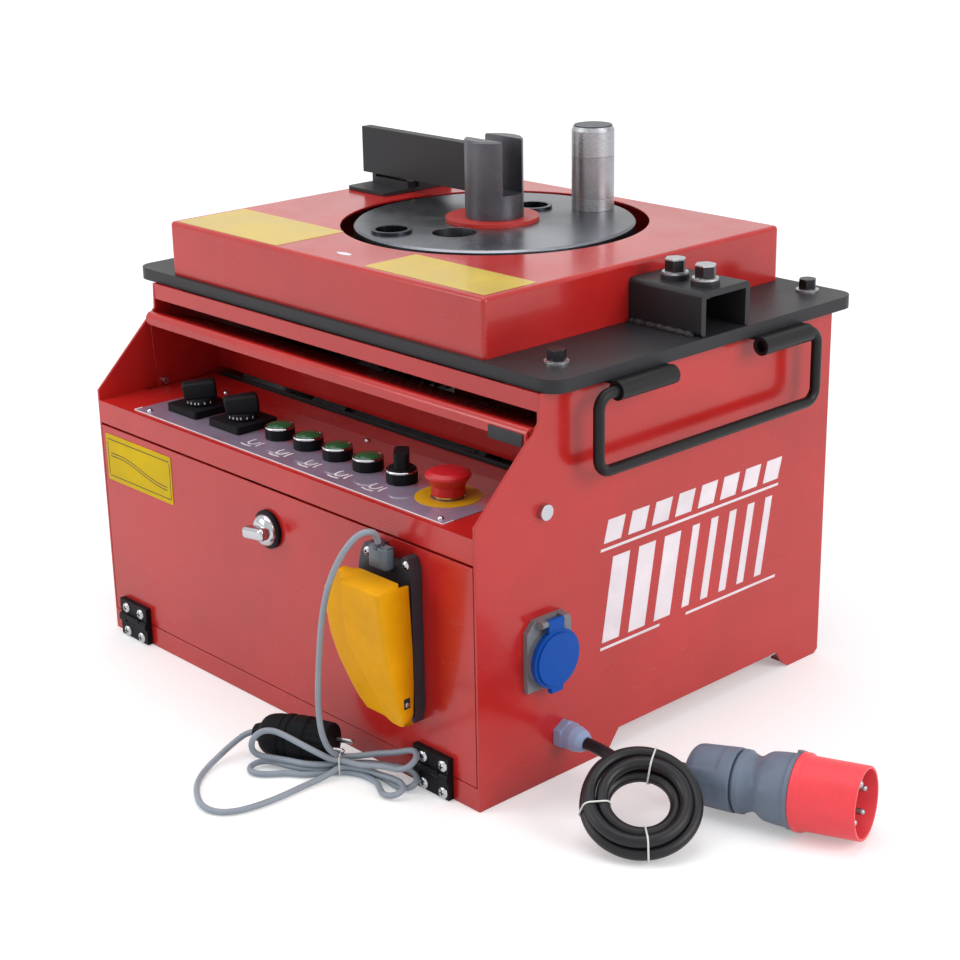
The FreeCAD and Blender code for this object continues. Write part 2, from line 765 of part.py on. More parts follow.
def pivot_bolts():
    pieces = []
    for outer, outward in ((body_right, 1), (body_left, -1)):
        y, z = lid_pivot
        head_end = outer + outward * 5.5
        shank_end = outer - outward * 8.0
        bolt = fuse(rod(7.0, (outer, y, z), (head_end, y, z)), rod(pivot_bolt_radius, (shank_end, y, z), (outer, y, z)))
        pieces.append(bolt)
    return Part.makeCompound(pieces)


# Door with its hinges, latch and the pedal that hangs on it

def front_door():
    bottom = sill_top + 1.0
    left = inner_left + 1.0
    right = inner_right - 1.0
    face = box(left, right, 0, thin, bottom, door_top)
    fold = 14.0
    top = box(left, right, 0, fold, door_top - thin, door_top)
    low = box(left, right, 0, fold, bottom, bottom + thin)
    sides = [box(left, left + thin, 0, fold, bottom, door_top), box(right - thin, right, 0, fold, bottom, door_top)]
    door = fuse(face, top, low, *sides)
    x, z = latch_place
    door = door.cut(box(x - 40, x + 40, thin, fold + 1, door_top - 5, door_top + 1))
    return door.cut(rod(6.3, (x, -5, z), (x, 5, z)))


def hinge_leaves():
    y, z = hinge_axis
    pieces = []
    for x0, x1 in hinge_spans:
        reach = (x1 - x0) / 4.0
        leaf = box(x0, x1, -6.0, 0, 0.5, z - knuckle_radius - 0.3)
        ends = []
        for a, b in ((x0, x0 + reach - 0.2), (x1 - reach + 0.2, x1)):
            ends.append(rod(knuckle_radius, (a, y, z), (b, y, z)))
            ends.append(box(a, b, y - knuckle_radius, y + knuckle_radius, z - knuckle_radius - 0.3, z))
        pin = rod(1.8, (x0, y, z), (x1, y, z))
        pieces.append(fuse(leaf, *ends, pin))
    return Part.makeCompound(pieces)


def door_leaves():
    y, z = hinge_axis
    pieces = []
    for x0, x1 in hinge_spans:
        reach = (x1 - x0) / 4.0
        leaf = box(x0, x1, -6.0, 0, z + knuckle_radius + 0.3, 40.0)
        a = x0 + reach + 0.2
        b = x1 - reach - 0.2
        middle = rod(knuckle_radius, (a, y, z), (b, y, z))
        web = box(a, b, y - knuckle_radius, y + knuckle_radius, z, z + knuckle_radius + 0.3)
        hinge = fuse(leaf, middle, web)
        pieces.append(hinge.cut(rod(1.85, (x0 - 1, y, z), (x1 + 1, y, z))))
    return Part.makeCompound(pieces)


def door_latch():
    x, z = latch_place
    rosette = rod(18.0, (x, -0.3, z), (x, -4.0, z))
    dome = rod(15.5, (x, -4.0, z), (x, -8.0, z))
    stalk = rod(6.0, (x, 8.0, z), (x, -18.0, z))
    wing = box(x - 16, x + 16, -22.0, -8.0, z - 6.5, z + 6.5)
    wing = wing.makeFillet(4.0, edges_along(wing, vec(0, 1, 0)))
    cam = box(x - 46, x + 9, 5.0, 8.0, z - 7, z + 7)
    return fuse(rosette, dome, stalk, wing, cam)


pedal_back = -12.0
pedal_right = 226.5
ear_spans = ((200.5, 204.5), (216.0, 220.0))


def pedal_base():
    outline = [(155, 196), (158.5, 208), (163.5, 217), (171, 219.5), (180, 219), (190, 207), (206, 207), (210, 213.5),
               (214.5, 217.5), (220, 216.5), (224, 208), (224, 78), (221, 64), (172, 62), (158, 80), (150, 140)]
    plate = prism_y(outline, pedal_back, -0.2)
    boss = box(181, 203, -22.0, pedal_back, 203, 223)
    boss = boss.makeFillet(4.0, edges_along(boss, vec(0, 0, 1), lambda p: p.y < -20))
    x, y, z = cord_drop[0]
    collar = Part.makeCone(6.0, 4.0, 4.4, vec(x, y + 1.4, z - 5.7))
    y, z = pedal_pivot
    pieces = [boss, collar, rod(pedal_pin, (ear_spans[0][0], y, z), (ear_spans[1][1] + 5.0, y, z))]
    for x0, x1 in ear_spans:
        pieces.append(rod(4.0, (x0, y, z), (x1, y, z)))
        pieces.append(box(x0, x1, y, pedal_back, z - 4, z + 4))
    return fuse(plate, *pieces)


def pedal_treadle():
    tray_outline = [(170, 66), (220, 66), (pedal_right, 74), (pedal_right, 204), (190, 204), (178, 203), (152, 199),
                    (137, 190), (131, 182), (129.5, 166), (129.5, 147), (131, 128), (138, 106), (149.5, 86),
                    (161.5, 71)]
    tray_front = [(-90, 60), (-22.0, 60), (-36, 185), (-36, 212), (-90, 212)]
    tray = prism_y(tray_outline, -70, -12.5).cut(prism_x(tray_front, 120, 240))
    ridge_outline = [(200, 76), (206, 70), (220, 67), (pedal_right, 74), (pedal_right, 204), (182, 204),
                     (180, 189), (178.5, 158), (180, 138), (187, 120), (196, 102)]
    ridge_front = [(-90, 60), (-26, 60), (-28.2, 71.5), (-34.6, 90), (-41.3, 117.5), (-46.3, 144), (-49, 171),
                   (-pedal_depth, 195.8), (-pedal_depth, 212), (-90, 212)]
    ridge = prism_y(ridge_outline, -70, -12.5).cut(prism_x(ridge_front, 120, 240))
    solid = fuse(tray, ridge)
    top = [(-90, 187), (-pedal_depth, 195.8), (-20, 203.4), (-20, 230), (-90, 230)]
    rear = [(0, 60), (-15, 60), (-14.2, 100), (-14.6, 132), (-16, 168), (-17, 190), (-28, 192), (-28, 230), (0, 230)]
    solid = solid.cut(prism_x(top, 120, 240)).cut(prism_x(rear, 120, 240))
    y, z = pedal_pivot
    for x0, x1 in ear_spans:
        slot = fuse(rod(4.6, (x0 - 0.6, y, z), (x1 + 0.6, y, z)), box(x0 - 0.6, x1 + 0.6, y, -10, z - 6, z + 6))
        solid = solid.cut(slot)
    return solid.cut(rod(pedal_pin + running_gap, (ear_spans[0][0] - 0.6, y, z), (pedal_right + 1.0, y, z)))


# Wall socket with its lid, gland

def socket_flange():
    y0 = socket_y - 26.5
    y1 = socket_y + 26.5
    points = [(y0, 95), (y1, 95), (y1, 150), (y1 - 9, 160), (y0 + 9, 160), (y0, 150)]
    plate = prism_x(points, body_right, 296.0)
    collar = rod(26.0, (296.0, socket_y, socket_z), (300.0, socket_y, socket_z))
    cup = rod(22.0, (256.0, socket_y, socket_z), (body_right, socket_y, socket_z))
    x, z = lid_hinge
    ears = [box(295.0, x, socket_y - 16, socket_y - 9.3, z - 3, z + 3),
            box(295.0, x, socket_y + 9.3, socket_y + 16, z - 3, z + 3)]
    rounds = [rod(3.0, (x, socket_y - 16, z), (x, socket_y - 9.3, z)),
              rod(3.0, (x, socket_y + 9.3, z), (x, socket_y + 16, z))]
    pin = rod(1.5, (x, socket_y - 16, z), (x, socket_y + 16, z))
    solid = fuse(plate, collar, cup, *ears, *rounds, pin)
    return solid.cut(rod(19.5, (262.0, socket_y, socket_z), (301.0, socket_y, socket_z)))


def socket_lid():
    x, z = lid_hinge
    disc = rod(27.0, (300.5, socket_y, socket_z), (305.5, socket_y, socket_z))
    crown = rod(24.0, (305.5, socket_y, socket_z), (307.5, socket_y, socket_z))
    arm = box(300.5, 305.0, socket_y - 9, socket_y + 9, socket_z + 20, z)
    barrel = rod(3.0, (x, socket_y - 9, z), (x, socket_y + 9, z))
    tab = box(300.5, 305.5, socket_y - 7, socket_y + 7, socket_z - 31, socket_z - 24)
    lid = fuse(disc, crown, arm, barrel, tab)
    return lid.cut(rod(1.55, (x, socket_y - 30, z), (x, socket_y + 30, z)))


def cable_gland():
    across = 24.0
    reach = across / math.sqrt(3.0)
    points = [(gland_y + reach * math.cos(math.radians(60 * i + 30)),
               gland_z + reach * math.sin(math.radians(60 * i + 30))) for i in range(6)]
    nut = prism_x(points, body_right, 299.0)
    thread = rod(10.0, (280.0, gland_y, gland_z), (body_right, gland_y, gland_z))
    inner_nut = prism_x(points, 283.0, inner_right)
    dome = turned_along([(0, 0), (0, 11.8), (9, 11.8), (16, 10.0), (21, 7.0), (21, 0)], (299.0, gland_y, gland_z),
                        (330.0, gland_y, gland_z))
    return fuse(nut, thread, inner_nut, dome)


# Carrying handles and the rolled lugs that hold them

lug_spans = ((145.0, 216.0), (334.0, 402.0))


def handle_lugs():
    pieces = []
    for side in (1, -1):
        for y0, y1 in lug_spans:
            x = side * handle_x
            eye = rod(lug_outer, (x, y0, handle_z), (x, y1, handle_z))
            panel_side = side * (body_right if side > 0 else -body_left)
            edge = side * (table_half + 0.5)
            flap = box(min(panel_side, x), max(panel_side, x), y0, y1, 354.0, body_top)
            lug = fuse(eye, flap)
            lug = lug.cut(rod(rod_radius + lug_gap, (x, y0 - 1, handle_z), (x, y1 + 1, handle_z)))
            keep_off = box(min(0, edge), max(0, edge), y0 - 1, y1 + 1, body_top, 370)
            pieces.append(lug.cut(keep_off))
    return Part.makeCompound(pieces)


def handle(side):
    x = side * handle_x
    bend = 13.0
    corners = [(handle_front, handle_z), (handle_front, handle_low), (handle_back, handle_low),
               (handle_back, handle_z)]
    inside = [(lug_spans[0][1] - 6.0, handle_z), *corners, (lug_spans[1][0] + 6.0, handle_z)]
    spots = [vec(x, y, z) for y, z in inside]
    edges = []
    here = spots[0]
    for before, corner, after in zip(spots, spots[1:], spots[2:]):
        back = (before - corner).normalize()
        ahead = (after - corner).normalize()
        towards = (back + ahead).normalize()
        first = corner + back * bend
        last = corner + ahead * bend
        middle = corner + towards * bend * (math.sqrt(2.0) - 1.0)
        edges.append(Part.LineSegment(here, first).toShape())
        edges.append(Part.Arc(first, middle, last).toShape())
        here = last
    edges.append(Part.LineSegment(here, spots[-1]).toShape())
    circle = Part.Wire([Part.makeCircle(rod_radius, spots[0], spots[1] - spots[0])])
    return Part.Wire(edges).makePipeShell([circle], True, True)


# Cords and what is on them

def mains_coil():
    coil = Part.makeTorus(coil_radius, coil_bundle, vec(0, 0, 0), vec(0, 0, 1))
    heading = math.radians(coil_heading)
    coil.rotate(vec(0, 0, 0), vec(math.cos(heading), math.sin(heading), 0), coil_tilt)
    coil.translate(vec(*coil_centre))
    return coil


def mains_plug():
    start, end = mains_plug_ends
    outline = [(0, 0), (0, 19), (5, 25.5), (44, 28.3), (46, 26), (52, 23.5), (60, 23.5), (70, 30.5),
               (96, 31.5), (98, 33.6), (104, 33.6), (106, 31.5), (155, 31.5), (155, 28.5), (108, 28.5), (108, 0)]
    shell = turned_along(outline, start, end)
    axis = (vec(*end) - vec(*start)).normalize()
    side = axis.cross(vec(0, 0, 1)).normalize()
    up = side.cross(axis)
    pieces = [shell]
    for i in range(5):
        angle = math.radians(90.0 + 72.0 * i)
        base = vec(*start) + axis * 107.0 + (side * math.cos(angle) + up * math.sin(angle)) * 17.0
        pieces.append(Part.makeCylinder(3.4 if i == 0 else 2.6, 36.0, base, axis))
    return fuse(*pieces)


def pedal_cord_hank():
    # flat outline that holds the turns on both sides of the tie, and the turn that stands up from it
    outline = [(150, -34), (148, -56), (134, -66.5), (98, -81), (87, -86.5), (87, -95), (100, -97), (134, -84),
               (152, -62), (160, -42), (190, -36), (214, -31), (221, -20), (219, -12), (205, -10), (190, -14),
               (160, -30)]
    block = prism_z(outline, 0.3, 12.0)
    return fuse(block, cord_tube("hank_arch", hank_arch, cord_radius))


def pedal_plug():
    start, end = pedal_plug_ends
    outline = [(0, 0), (0, 9), (7, 12), (10, 18), (26, 20), (34, 21.5), (52, 21.5), (54, 20.5), (76, 20.5),
               (78, 19), (78, 0)]
    return turned_along(outline, start, end)


os.makedirs("parts", exist_ok=True)

save("side_panel_right", side_panel_right())
save("side_panel_left", side_panel(body_left, 1))
save("base_pan", base_pan())
save("rear_panel", rear_panel())
save("upper_front_band", upper_front_band())
save("console_panel", console_panel())
save("table_plate", table_plate())
save("disc_cover", disc_cover())
save("cap_screws", cap_screws())
save("tool_socket", tool_socket())
save("fence", fence())
save("turntable_disc", turntable_disc())
save("disc_bushes", disc_bushes())
save("centre_washer", centre_washer())
save("spindle", spindle())
save("main_gear", main_gear())
save("bearing_housing", bearing_housing())
save("spindle_bearings", spindle_bearings())
save("reducer_case", reducer_case())
save("output_shaft", output_shaft())
save("drive_pinion", drive_pinion())
save("drive_motor", drive_motor())
save("control_box", control_box())
save("centre_pin", centre_pin())
save("bending_pin", bending_pin())
save("bending_roller", bending_roller())
save("switch_bases", switch_bases())
save("button_bezels", button_bezels())
for number, place in enumerate(button_places, 1):
    save("green_button_" + str(number), green_button(place))
save("selector_knob", selector_knob())
save("estop_plate", estop_plate())
save("estop_stem", estop_stem())
save("estop_head", estop_head())
for number, place in enumerate(switch_places, 1):
    save("cam_knob_" + str(number), cam_knob(place))
save("control_cover", control_cover())
save("pivot_bolts", pivot_bolts())
save("front_door", front_door())
save("hinge_leaves", hinge_leaves())
save("door_leaves", door_leaves())
save("door_latch", door_latch())
save("pedal_base", pedal_base())
save("pedal_treadle", pedal_treadle())
save("socket_flange", socket_flange())
save("socket_lid", socket_lid())
save("cable_gland", cable_gland())
save("handle_lugs", handle_lugs())
save("handle_right", handle(1))
save("handle_left", handle(-1))
save("mains_lead_run", cord_tube("mains_lead_run", lead_run, lead_radius))
save("mains_lead_coil", mains_coil())
save("mains_lead_tail", cord_tube("mains_lead_tail", lead_tail, lead_radius))
save("mains_plug", mains_plug())
save("pedal_cord_drop", cord_tube("pedal_cord_drop", cord_drop, cord_radius))
save("pedal_cord_hank", pedal_cord_hank())
save("pedal_cord_tail", cord_tube("pedal_cord_tail", cord_loop, cord_radius))
save("pedal_plug", pedal_plug())
print("wrote", len(os.listdir("parts")), "parts")
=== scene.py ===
import bmesh
import bpy
import json
import math
import numpy as np
from mathutils import Matrix, Vector

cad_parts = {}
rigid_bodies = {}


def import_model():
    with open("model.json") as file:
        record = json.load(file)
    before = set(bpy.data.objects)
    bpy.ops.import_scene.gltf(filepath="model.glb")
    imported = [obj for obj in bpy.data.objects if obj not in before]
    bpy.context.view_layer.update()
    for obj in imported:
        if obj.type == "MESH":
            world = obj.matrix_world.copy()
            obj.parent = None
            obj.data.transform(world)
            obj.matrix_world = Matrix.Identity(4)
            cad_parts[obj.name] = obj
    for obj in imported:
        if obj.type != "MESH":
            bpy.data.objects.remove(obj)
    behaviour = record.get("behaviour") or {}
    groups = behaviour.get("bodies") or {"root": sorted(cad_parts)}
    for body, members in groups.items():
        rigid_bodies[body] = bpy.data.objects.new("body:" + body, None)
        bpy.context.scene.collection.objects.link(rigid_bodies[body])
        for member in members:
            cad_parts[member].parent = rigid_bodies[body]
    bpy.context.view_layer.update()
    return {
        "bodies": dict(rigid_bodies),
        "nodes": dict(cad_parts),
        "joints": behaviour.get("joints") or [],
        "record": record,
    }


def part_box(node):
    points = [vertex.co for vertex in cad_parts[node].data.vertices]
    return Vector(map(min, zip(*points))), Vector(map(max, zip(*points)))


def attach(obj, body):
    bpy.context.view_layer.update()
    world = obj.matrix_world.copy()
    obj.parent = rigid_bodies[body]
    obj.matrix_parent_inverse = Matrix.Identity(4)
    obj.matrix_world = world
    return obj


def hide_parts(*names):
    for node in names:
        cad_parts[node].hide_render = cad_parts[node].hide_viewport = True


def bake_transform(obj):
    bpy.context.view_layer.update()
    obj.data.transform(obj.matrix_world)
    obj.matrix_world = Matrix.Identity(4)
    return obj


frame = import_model()
cadNodes = frame["nodes"]
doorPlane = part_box("front_door")[0].y      # the front of the door, where y is 0 in spot()
print("frame loaded,", len(cadNodes), "nodes")


def spots(rows):
    # millimetres from the machine's middle, the door's front and the floor, as metres in the frame
    return np.array(rows, float) / 1000.0 + (0.0, doorPlane, 0.0)


def spot(x, y, z):
    return spots((x, y, z))


# Meshes from numpy; places and sizes are in mm, as in spot(), unless a note says otherwise

def addObject(name, data):
    added = bpy.data.objects.new(name, data)
    bpy.context.scene.collection.objects.link(added)
    return added


def putMesh(name, points, faces, body, smooth=True, sharpAngle=40.0, merge=1e-6):
    # points (m) nearer to each other than merge become one; faces is a list or an array of point numbers
    mesh = bpy.data.meshes.new(name)
    mesh.from_pydata(points.tolist(), [], [list(map(int, face)) for face in faces])
    mesh.validate()
    if smooth:
        mesh.shade_smooth()
        mesh.set_sharp_from_angle(angle=math.radians(sharpAngle))
    if merge:
        work = bmesh.new()
        work.from_mesh(mesh)
        bmesh.ops.remove_doubles(work, verts=work.verts, dist=merge)
        bmesh.ops.recalc_face_normals(work, faces=work.faces)
        work.to_mesh(mesh)
        work.free()
    piece = addObject(name, mesh)
    if body:
        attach(piece, body)
    return piece


def gridFaces(rows, columns, closeRows=False, closeColumns=False):
    # quads between neighbours of a rows by columns grid whose points are numbered row by row
    r, c = np.meshgrid(np.arange(rows - 1 + closeRows), np.arange(columns - 1 + closeColumns), indexing="ij")
    r2 = (r + 1) % rows * columns
    c2 = (c + 1) % columns
    return np.stack((r * columns + c, r * columns + c2, r2 + c2, r2 + c), -1).reshape(-1, 4)


def shellFaces(rings, steps, closed=False):
    # quads between rings of points, with a cap on the first and the last ring where the shell isn't closed
    faces = gridFaces(rings, steps, closed, True).tolist()
    if not closed:
        faces.append(list(range(steps))[::-1])
        faces.append(list(range((rings - 1) * steps, rings * steps)))
    return faces


def circle(steps):
    return np.linspace(0, 2 * math.pi, steps, endpoint=False)


def turned(name, profile, place, axis, body, steps, closed=False, sharpAngle=40.0):
    # each (radius, height) of the profile (mm) goes round the axis: place + axis*height + radius*(cos, sin)
    axis = np.array(axis, float) / np.linalg.norm(axis)
    side = np.cross((0.0, 0.0, 1.0) if abs(axis[2]) < 0.9 else (1.0, 0.0, 0.0), axis)
    side /= np.linalg.norm(side)
    angle = circle(steps)[:, None]
    around = np.cos(angle) * side + np.sin(angle) * np.cross(axis, side)
    radius, height = np.array(profile, float).T[:, :, None, None] / 1000.0
    points = spots(place) + height * axis + radius * around
    faces = shellFaces(len(profile), steps, closed)
    return putMesh(name, points.reshape(-1, 3), faces, body, sharpAngle=sharpAngle, merge=0)


def softBox(name, place, size, radius, body, turn=None, steps=4, shape=None):
    # a box (mm) with round edges: sign(n)*(half - radius) + radius*n for unit normals n on a latitude and longitude
    # grid; shape is a function that moves its points, turn a 3 by 3 matrix
    quarter = np.linspace(0, math.pi / 2, steps)
    longitude = np.concatenate([quarter + i * math.pi / 2 for i in range(4)])
    latitude = np.concatenate([quarter - math.pi / 2, quarter])[:, None]
    normal = (np.cos(latitude) * np.cos(longitude), np.cos(latitude) * np.sin(longitude), np.sin(latitude))
    sign = (np.repeat([1, -1, -1, 1], steps), np.repeat([1, 1, -1, -1], steps), np.repeat([-1, 1], steps)[:, None])
    normal = np.stack(np.broadcast_arrays(*normal), -1)
    sign = np.stack(np.broadcast_arrays(*sign), -1)
    points = (sign * (np.array(size) / 2.0 - radius) + radius * normal).reshape(-1, 3)
    if shape is not None:
        points = shape(points)
    if turn is not None:
        points = points @ np.array(turn).T
    return putMesh(name, points / 1000.0 + spots(place), shellFaces(2 * steps, 4 * steps), body)


def tube(name, path, radius, body, steps, closed=False):
    # a circle carried along the path (both in metres), turned as little as possible from point to point
    tangent = np.gradient(path, axis=0)
    tangent /= np.linalg.norm(tangent, axis=1)[:, None]
    normal = np.zeros_like(path)
    first = np.cross(tangent[0], (0.0, 0.0, 1.0))
    if np.linalg.norm(first) < 0.2:
        first = np.cross(tangent[0], (1.0, 0.0, 0.0))
    normal[0] = first / np.linalg.norm(first)
    for i in range(1, len(path)):
        n = normal[i - 1] - tangent[i] * (normal[i - 1] @ tangent[i])
        normal[i] = n / np.linalg.norm(n)
    other = np.cross(tangent, normal)
    angle = circle(steps)[None, :, None]
    ring = np.cos(angle) * normal[:, None] + np.sin(angle) * other[:, None]
    points = path[:, None] + radius * ring
    return putMesh(name, points.reshape(-1, 3), shellFaces(len(path), steps, closed), body)


def onPlane(flat, level, axis):
    # the points of a flat shape (mm) at a level along the axis
    order = {"x": (2, 0, 1), "y": (0, 2, 1), "z": (0, 1, 2)}[axis]
    return np.column_stack((flat, np.full(len(flat), level)))[:, order]


def roundRim(piece, width):
    # a Bevel modifier (mm) on every edge that bends more than 35 degrees
    rim = piece.modifiers.new("rim", "BEVEL")
    rim.width = width / 1000.0
    rim.segments = 3
    rim.limit_method = "ANGLE"
    rim.angle_limit = math.radians(35)
    rim.harden_normals = False
    piece.data.shade_smooth()
    piece.data.set_sharp_from_angle(angle=math.radians(50))
    return piece


def slab(name, outline, low, high, body, axis="z"):
    # a flat plate of a closed outline (mm) between two levels
    points = np.concatenate([onPlane(outline, level, axis) for level in (low, high)])
    return putMesh(name, spots(points), shellFaces(2, len(outline)), body, smooth=False)


def roundedOutline(x0, x1, y0, y1):
    # a rectangle with round corners, counter-clockwise
    radius = 2.0
    left, right, low, high = x0 + radius, x1 - radius, y0 + radius, y1 - radius
    outline = []
    for number, (x, y) in enumerate(((right, high), (left, high), (left, low), (right, low))):
        angle = np.radians(np.linspace(90 * number, 90 * number + 90, 5))
        outline.append(np.stack((x + radius * np.cos(angle), y + radius * np.sin(angle)), -1))
    return np.concatenate(outline)


def wave(value, low, high):
    # smooth step from 0 at low to 1 at high
    t = np.clip((value - low) / (high - low), 0, 1)
    return t * t * (3 - 2 * t)


def crossFrame(way):
    # the unit vector along a way and two across it, the second one mostly upwards
    axis = np.array(way, float) / np.linalg.norm(way)
    side = np.cross(axis, (0.0, 0.0, 1.0))
    side /= np.linalg.norm(side)
    return axis, side, np.cross(side, axis)


# Finishes

finishes = {}
white = (1.0, 1.0, 1.0)


def addNode(tree, kind, *inputs, **values):
    # inputs in their order and values by name, on sockets or else on the node; another node's output is linked
    node = tree.nodes.new(kind)
    for key, value in [*values.items(), *enumerate(inputs)]:
        if isinstance(key, str) and key not in node.inputs.keys():
            setattr(node, key, value)
        elif isinstance(value, bpy.types.NodeSocket):
            tree.links.new(value, node.inputs[key])
        else:
            node.inputs[key].default_value = value
    return node


def newFinish(name, rough, metallic=0.0, coat=0.0, coatRough=0.1, specular=0.4):
    finish = bpy.data.materials.new(name)
    finish.use_nodes = True
    finishes[name] = finish
    shader = finish.node_tree.nodes["Principled BSDF"]
    for socket, value in (("Roughness", rough), ("Metallic", metallic), ("Coat Weight", coat),
                          ("Coat Roughness", coatRough), ("Specular IOR Level", specular)):
        shader.inputs[socket].default_value = value
    return finish.node_tree, shader


def objectPlace(tree, scale=(1, 1, 1), shift=(0, 0, 0)):
    # the piece's own coordinates, moved and stretched by a Mapping node
    place = addNode(tree, "ShaderNodeTexCoord").outputs["Object"]
    return addNode(tree, "ShaderNodeMapping", Vector=place, Location=shift, Scale=scale).outputs["Vector"]


def noise(tree, vector, scale, detail, rough=0.5):
    node = addNode(tree, "ShaderNodeTexNoise", Vector=vector, Scale=scale, Detail=detail, Roughness=rough)
    return node.outputs["Fac"]


def maths(tree, operation, *inputs):
    return addNode(tree, "ShaderNodeMath", *inputs, operation=operation).outputs["Value"]


def mixed(tree, share, first, second, blend="MIX"):
    mix = addNode(tree, "ShaderNodeMix", data_type="RGBA", blend_type=blend, Factor=share, A=first, B=second)
    return mix.outputs["Result"]


def spread(tree, value, low, high, fromLow=0.3, fromHigh=0.7):
    return addNode(tree, "ShaderNodeMapRange", value, fromLow, fromHigh, low, high).outputs["Result"]


def ramp(tree, factor, stops):
    # stops is a list of (position, colour)
    node = addNode(tree, "ShaderNodeValToRGB", factor)
    elements = node.color_ramp.elements
    while len(elements) < len(stops):
        elements.new(0.5)
    for element, (position, colour) in zip(elements, stops):
        element.position = position
        element.color = (*colour, 1.0)
    return node.outputs["Color"]


def tones(tree, factor, colour, low, high, fromLow=0.3, fromHigh=0.7):
    # the colour times low, rising to the colour times high as the factor rises
    ends = ((fromLow, low), (fromHigh, high))
    return ramp(tree, factor, [(position, [min(1.0, part * tone) for part in colour]) for position, tone in ends])


def connect(tree, shader, colour, rough, height=None, strength=0.0, distance=0.0, edge=0.0):
    # the colour, the gloss and the bump of a finish; a Bevel node rounds the look of edges too small to model
    tree.links.new(colour, shader.inputs["Base Color"])
    tree.links.new(rough, shader.inputs["Roughness"])
    if height is not None:
        normal = addNode(tree, "ShaderNodeBevel", samples=4, Radius=edge).outputs["Normal"]
        bump = addNode(tree, "ShaderNodeBump", Strength=strength, Distance=distance, Height=height, Normal=normal)
        tree.links.new(bump.outputs["Normal"], shader.inputs["Normal"])


def enamel(name, colour, rough=0.22, coat=0.2):
    # baked enamel: faint clouds in the colour, smears in the gloss, orange peel
    tree, shader = newFinish(name, rough, coat=coat, coatRough=0.06)
    place = objectPlace(tree)
    clouds = noise(tree, place, 7.0, 4.0, 0.6)
    smears = noise(tree, objectPlace(tree, scale=(1, 1, 3)), 14.0, 5.0, 0.65)
    connect(tree, shader, tones(tree, clouds, colour, 0.88, 1.12), spread(tree, smears, rough * 0.75, rough * 1.35),
            noise(tree, place, 420.0, 2.0), strength=0.012, distance=0.0004, edge=0.0009)


def powder(name, colour, rough, grain=1400.0, height=0.12):
    # powder coat: fine grain in height and colour
    tree, shader = newFinish(name, rough, specular=0.25)
    place = objectPlace(tree)
    grains = noise(tree, place, grain, 2.0, 0.6)
    clouds = noise(tree, place, 9.0, 4.0, 0.6)
    tone = mixed(tree, 1.0, tones(tree, clouds, colour, 0.85, 1.15), tones(tree, grains, white, 0.8, 1.0, 0.35),
                 "MULTIPLY")
    connect(tree, shader, tone, spread(tree, clouds, rough * 0.85, rough * 1.15), grains,
            strength=height, distance=0.0003, edge=0.0008)


def moulded(name, colour, rough=0.42, grain=900.0, height=0.06, coat=0.0, cloud=0.1, specular=0.35):
    # moulded plastic: fine pebble, faint flow clouds
    tree, shader = newFinish(name, rough, coat=coat, coatRough=0.12, specular=specular)
    place = objectPlace(tree)
    clouds = noise(tree, place, 22.0, 4.0, 0.6)
    connect(tree, shader, tones(tree, clouds, colour, 1 - cloud, 1 + cloud),
            spread(tree, clouds, rough * 0.85, rough * 1.2), noise(tree, place, grain, 2.0),
            strength=height, distance=0.0003, edge=0.0006)


def metal(name, colour, rough, stretch=(1, 1, 12), height=0.05, cloud=0.2, metallic=1.0):
    # bare metal: cloudy oxide and fine marks drawn out along one direction
    tree, shader = newFinish(name, rough, metallic)
    marks = noise(tree, objectPlace(tree, scale=stretch), 260.0, 3.0, 0.6)
    clouds = noise(tree, objectPlace(tree), 26.0, 5.0, 0.65)
    tone = mixed(tree, 1.0, tones(tree, clouds, colour, 1 - cloud, 1 + cloud, 0.3, 0.72),
                 tones(tree, marks, white, 0.82, 1.0), "MULTIPLY")
    connect(tree, shader, tone, spread(tree, marks, rough * 0.75, rough * 1.3), marks,
            strength=height, distance=0.0002, edge=0.0005)


# painted reflection: each share of a turn about the disc's middle and the disc's tone there, bright where the
# highlight falls and dark at the sides
discReflectionSectors = ((0.0, 0.6), (0.13, 0.45), (0.25, 0.75), (0.36, 1.25), (0.46, 1.2), (0.56, 0.6), (0.66, 0.4),
               (0.78, 0.75), (0.9, 0.9), (1.0, 0.6))


def discFinish(name, colour, centre, rough):
    # faced steel: fine rings and cloudy wear, and a painted reflection in bright and dark sectors about the disc's
    # middle, which stand in for the bow-tie highlight of the faced surface and turn with the disc
    tree, shader = newFinish(name, rough, metallic=1.0)
    place = objectPlace(tree, shift=(-centre[0], -centre[1], 0.0))
    flat = addNode(tree, "ShaderNodeVectorMath", place, (1.0, 1.0, 0.0), operation="MULTIPLY").outputs["Vector"]
    far = addNode(tree, "ShaderNodeVectorMath", flat, operation="LENGTH").outputs["Value"]
    rings = addNode(tree, "ShaderNodeTexNoise", noise_dimensions="1D", W=far, Scale=900.0, Detail=2.0, Roughness=0.7)
    rings = rings.outputs["Fac"]
    clouds = noise(tree, objectPlace(tree), 11.0, 5.0, 0.7)
    angle = addNode(tree, "ShaderNodeTexGradient", place, gradient_type="RADIAL").outputs["Fac"]
    paintedReflection = ramp(tree, angle, [(share, (level,) * 3) for share, level in discReflectionSectors])
    tone = mixed(tree, 1.0, tones(tree, clouds, colour, 0.72, 1.2), tones(tree, rings, white, 0.8, 1.0), "MULTIPLY")
    connect(tree, shader, mixed(tree, 1.0, tone, paintedReflection, "MULTIPLY"), spread(tree, clouds, rough * 0.8, rough * 1.3),
            rings, strength=0.12, distance=0.0002, edge=0.0006)


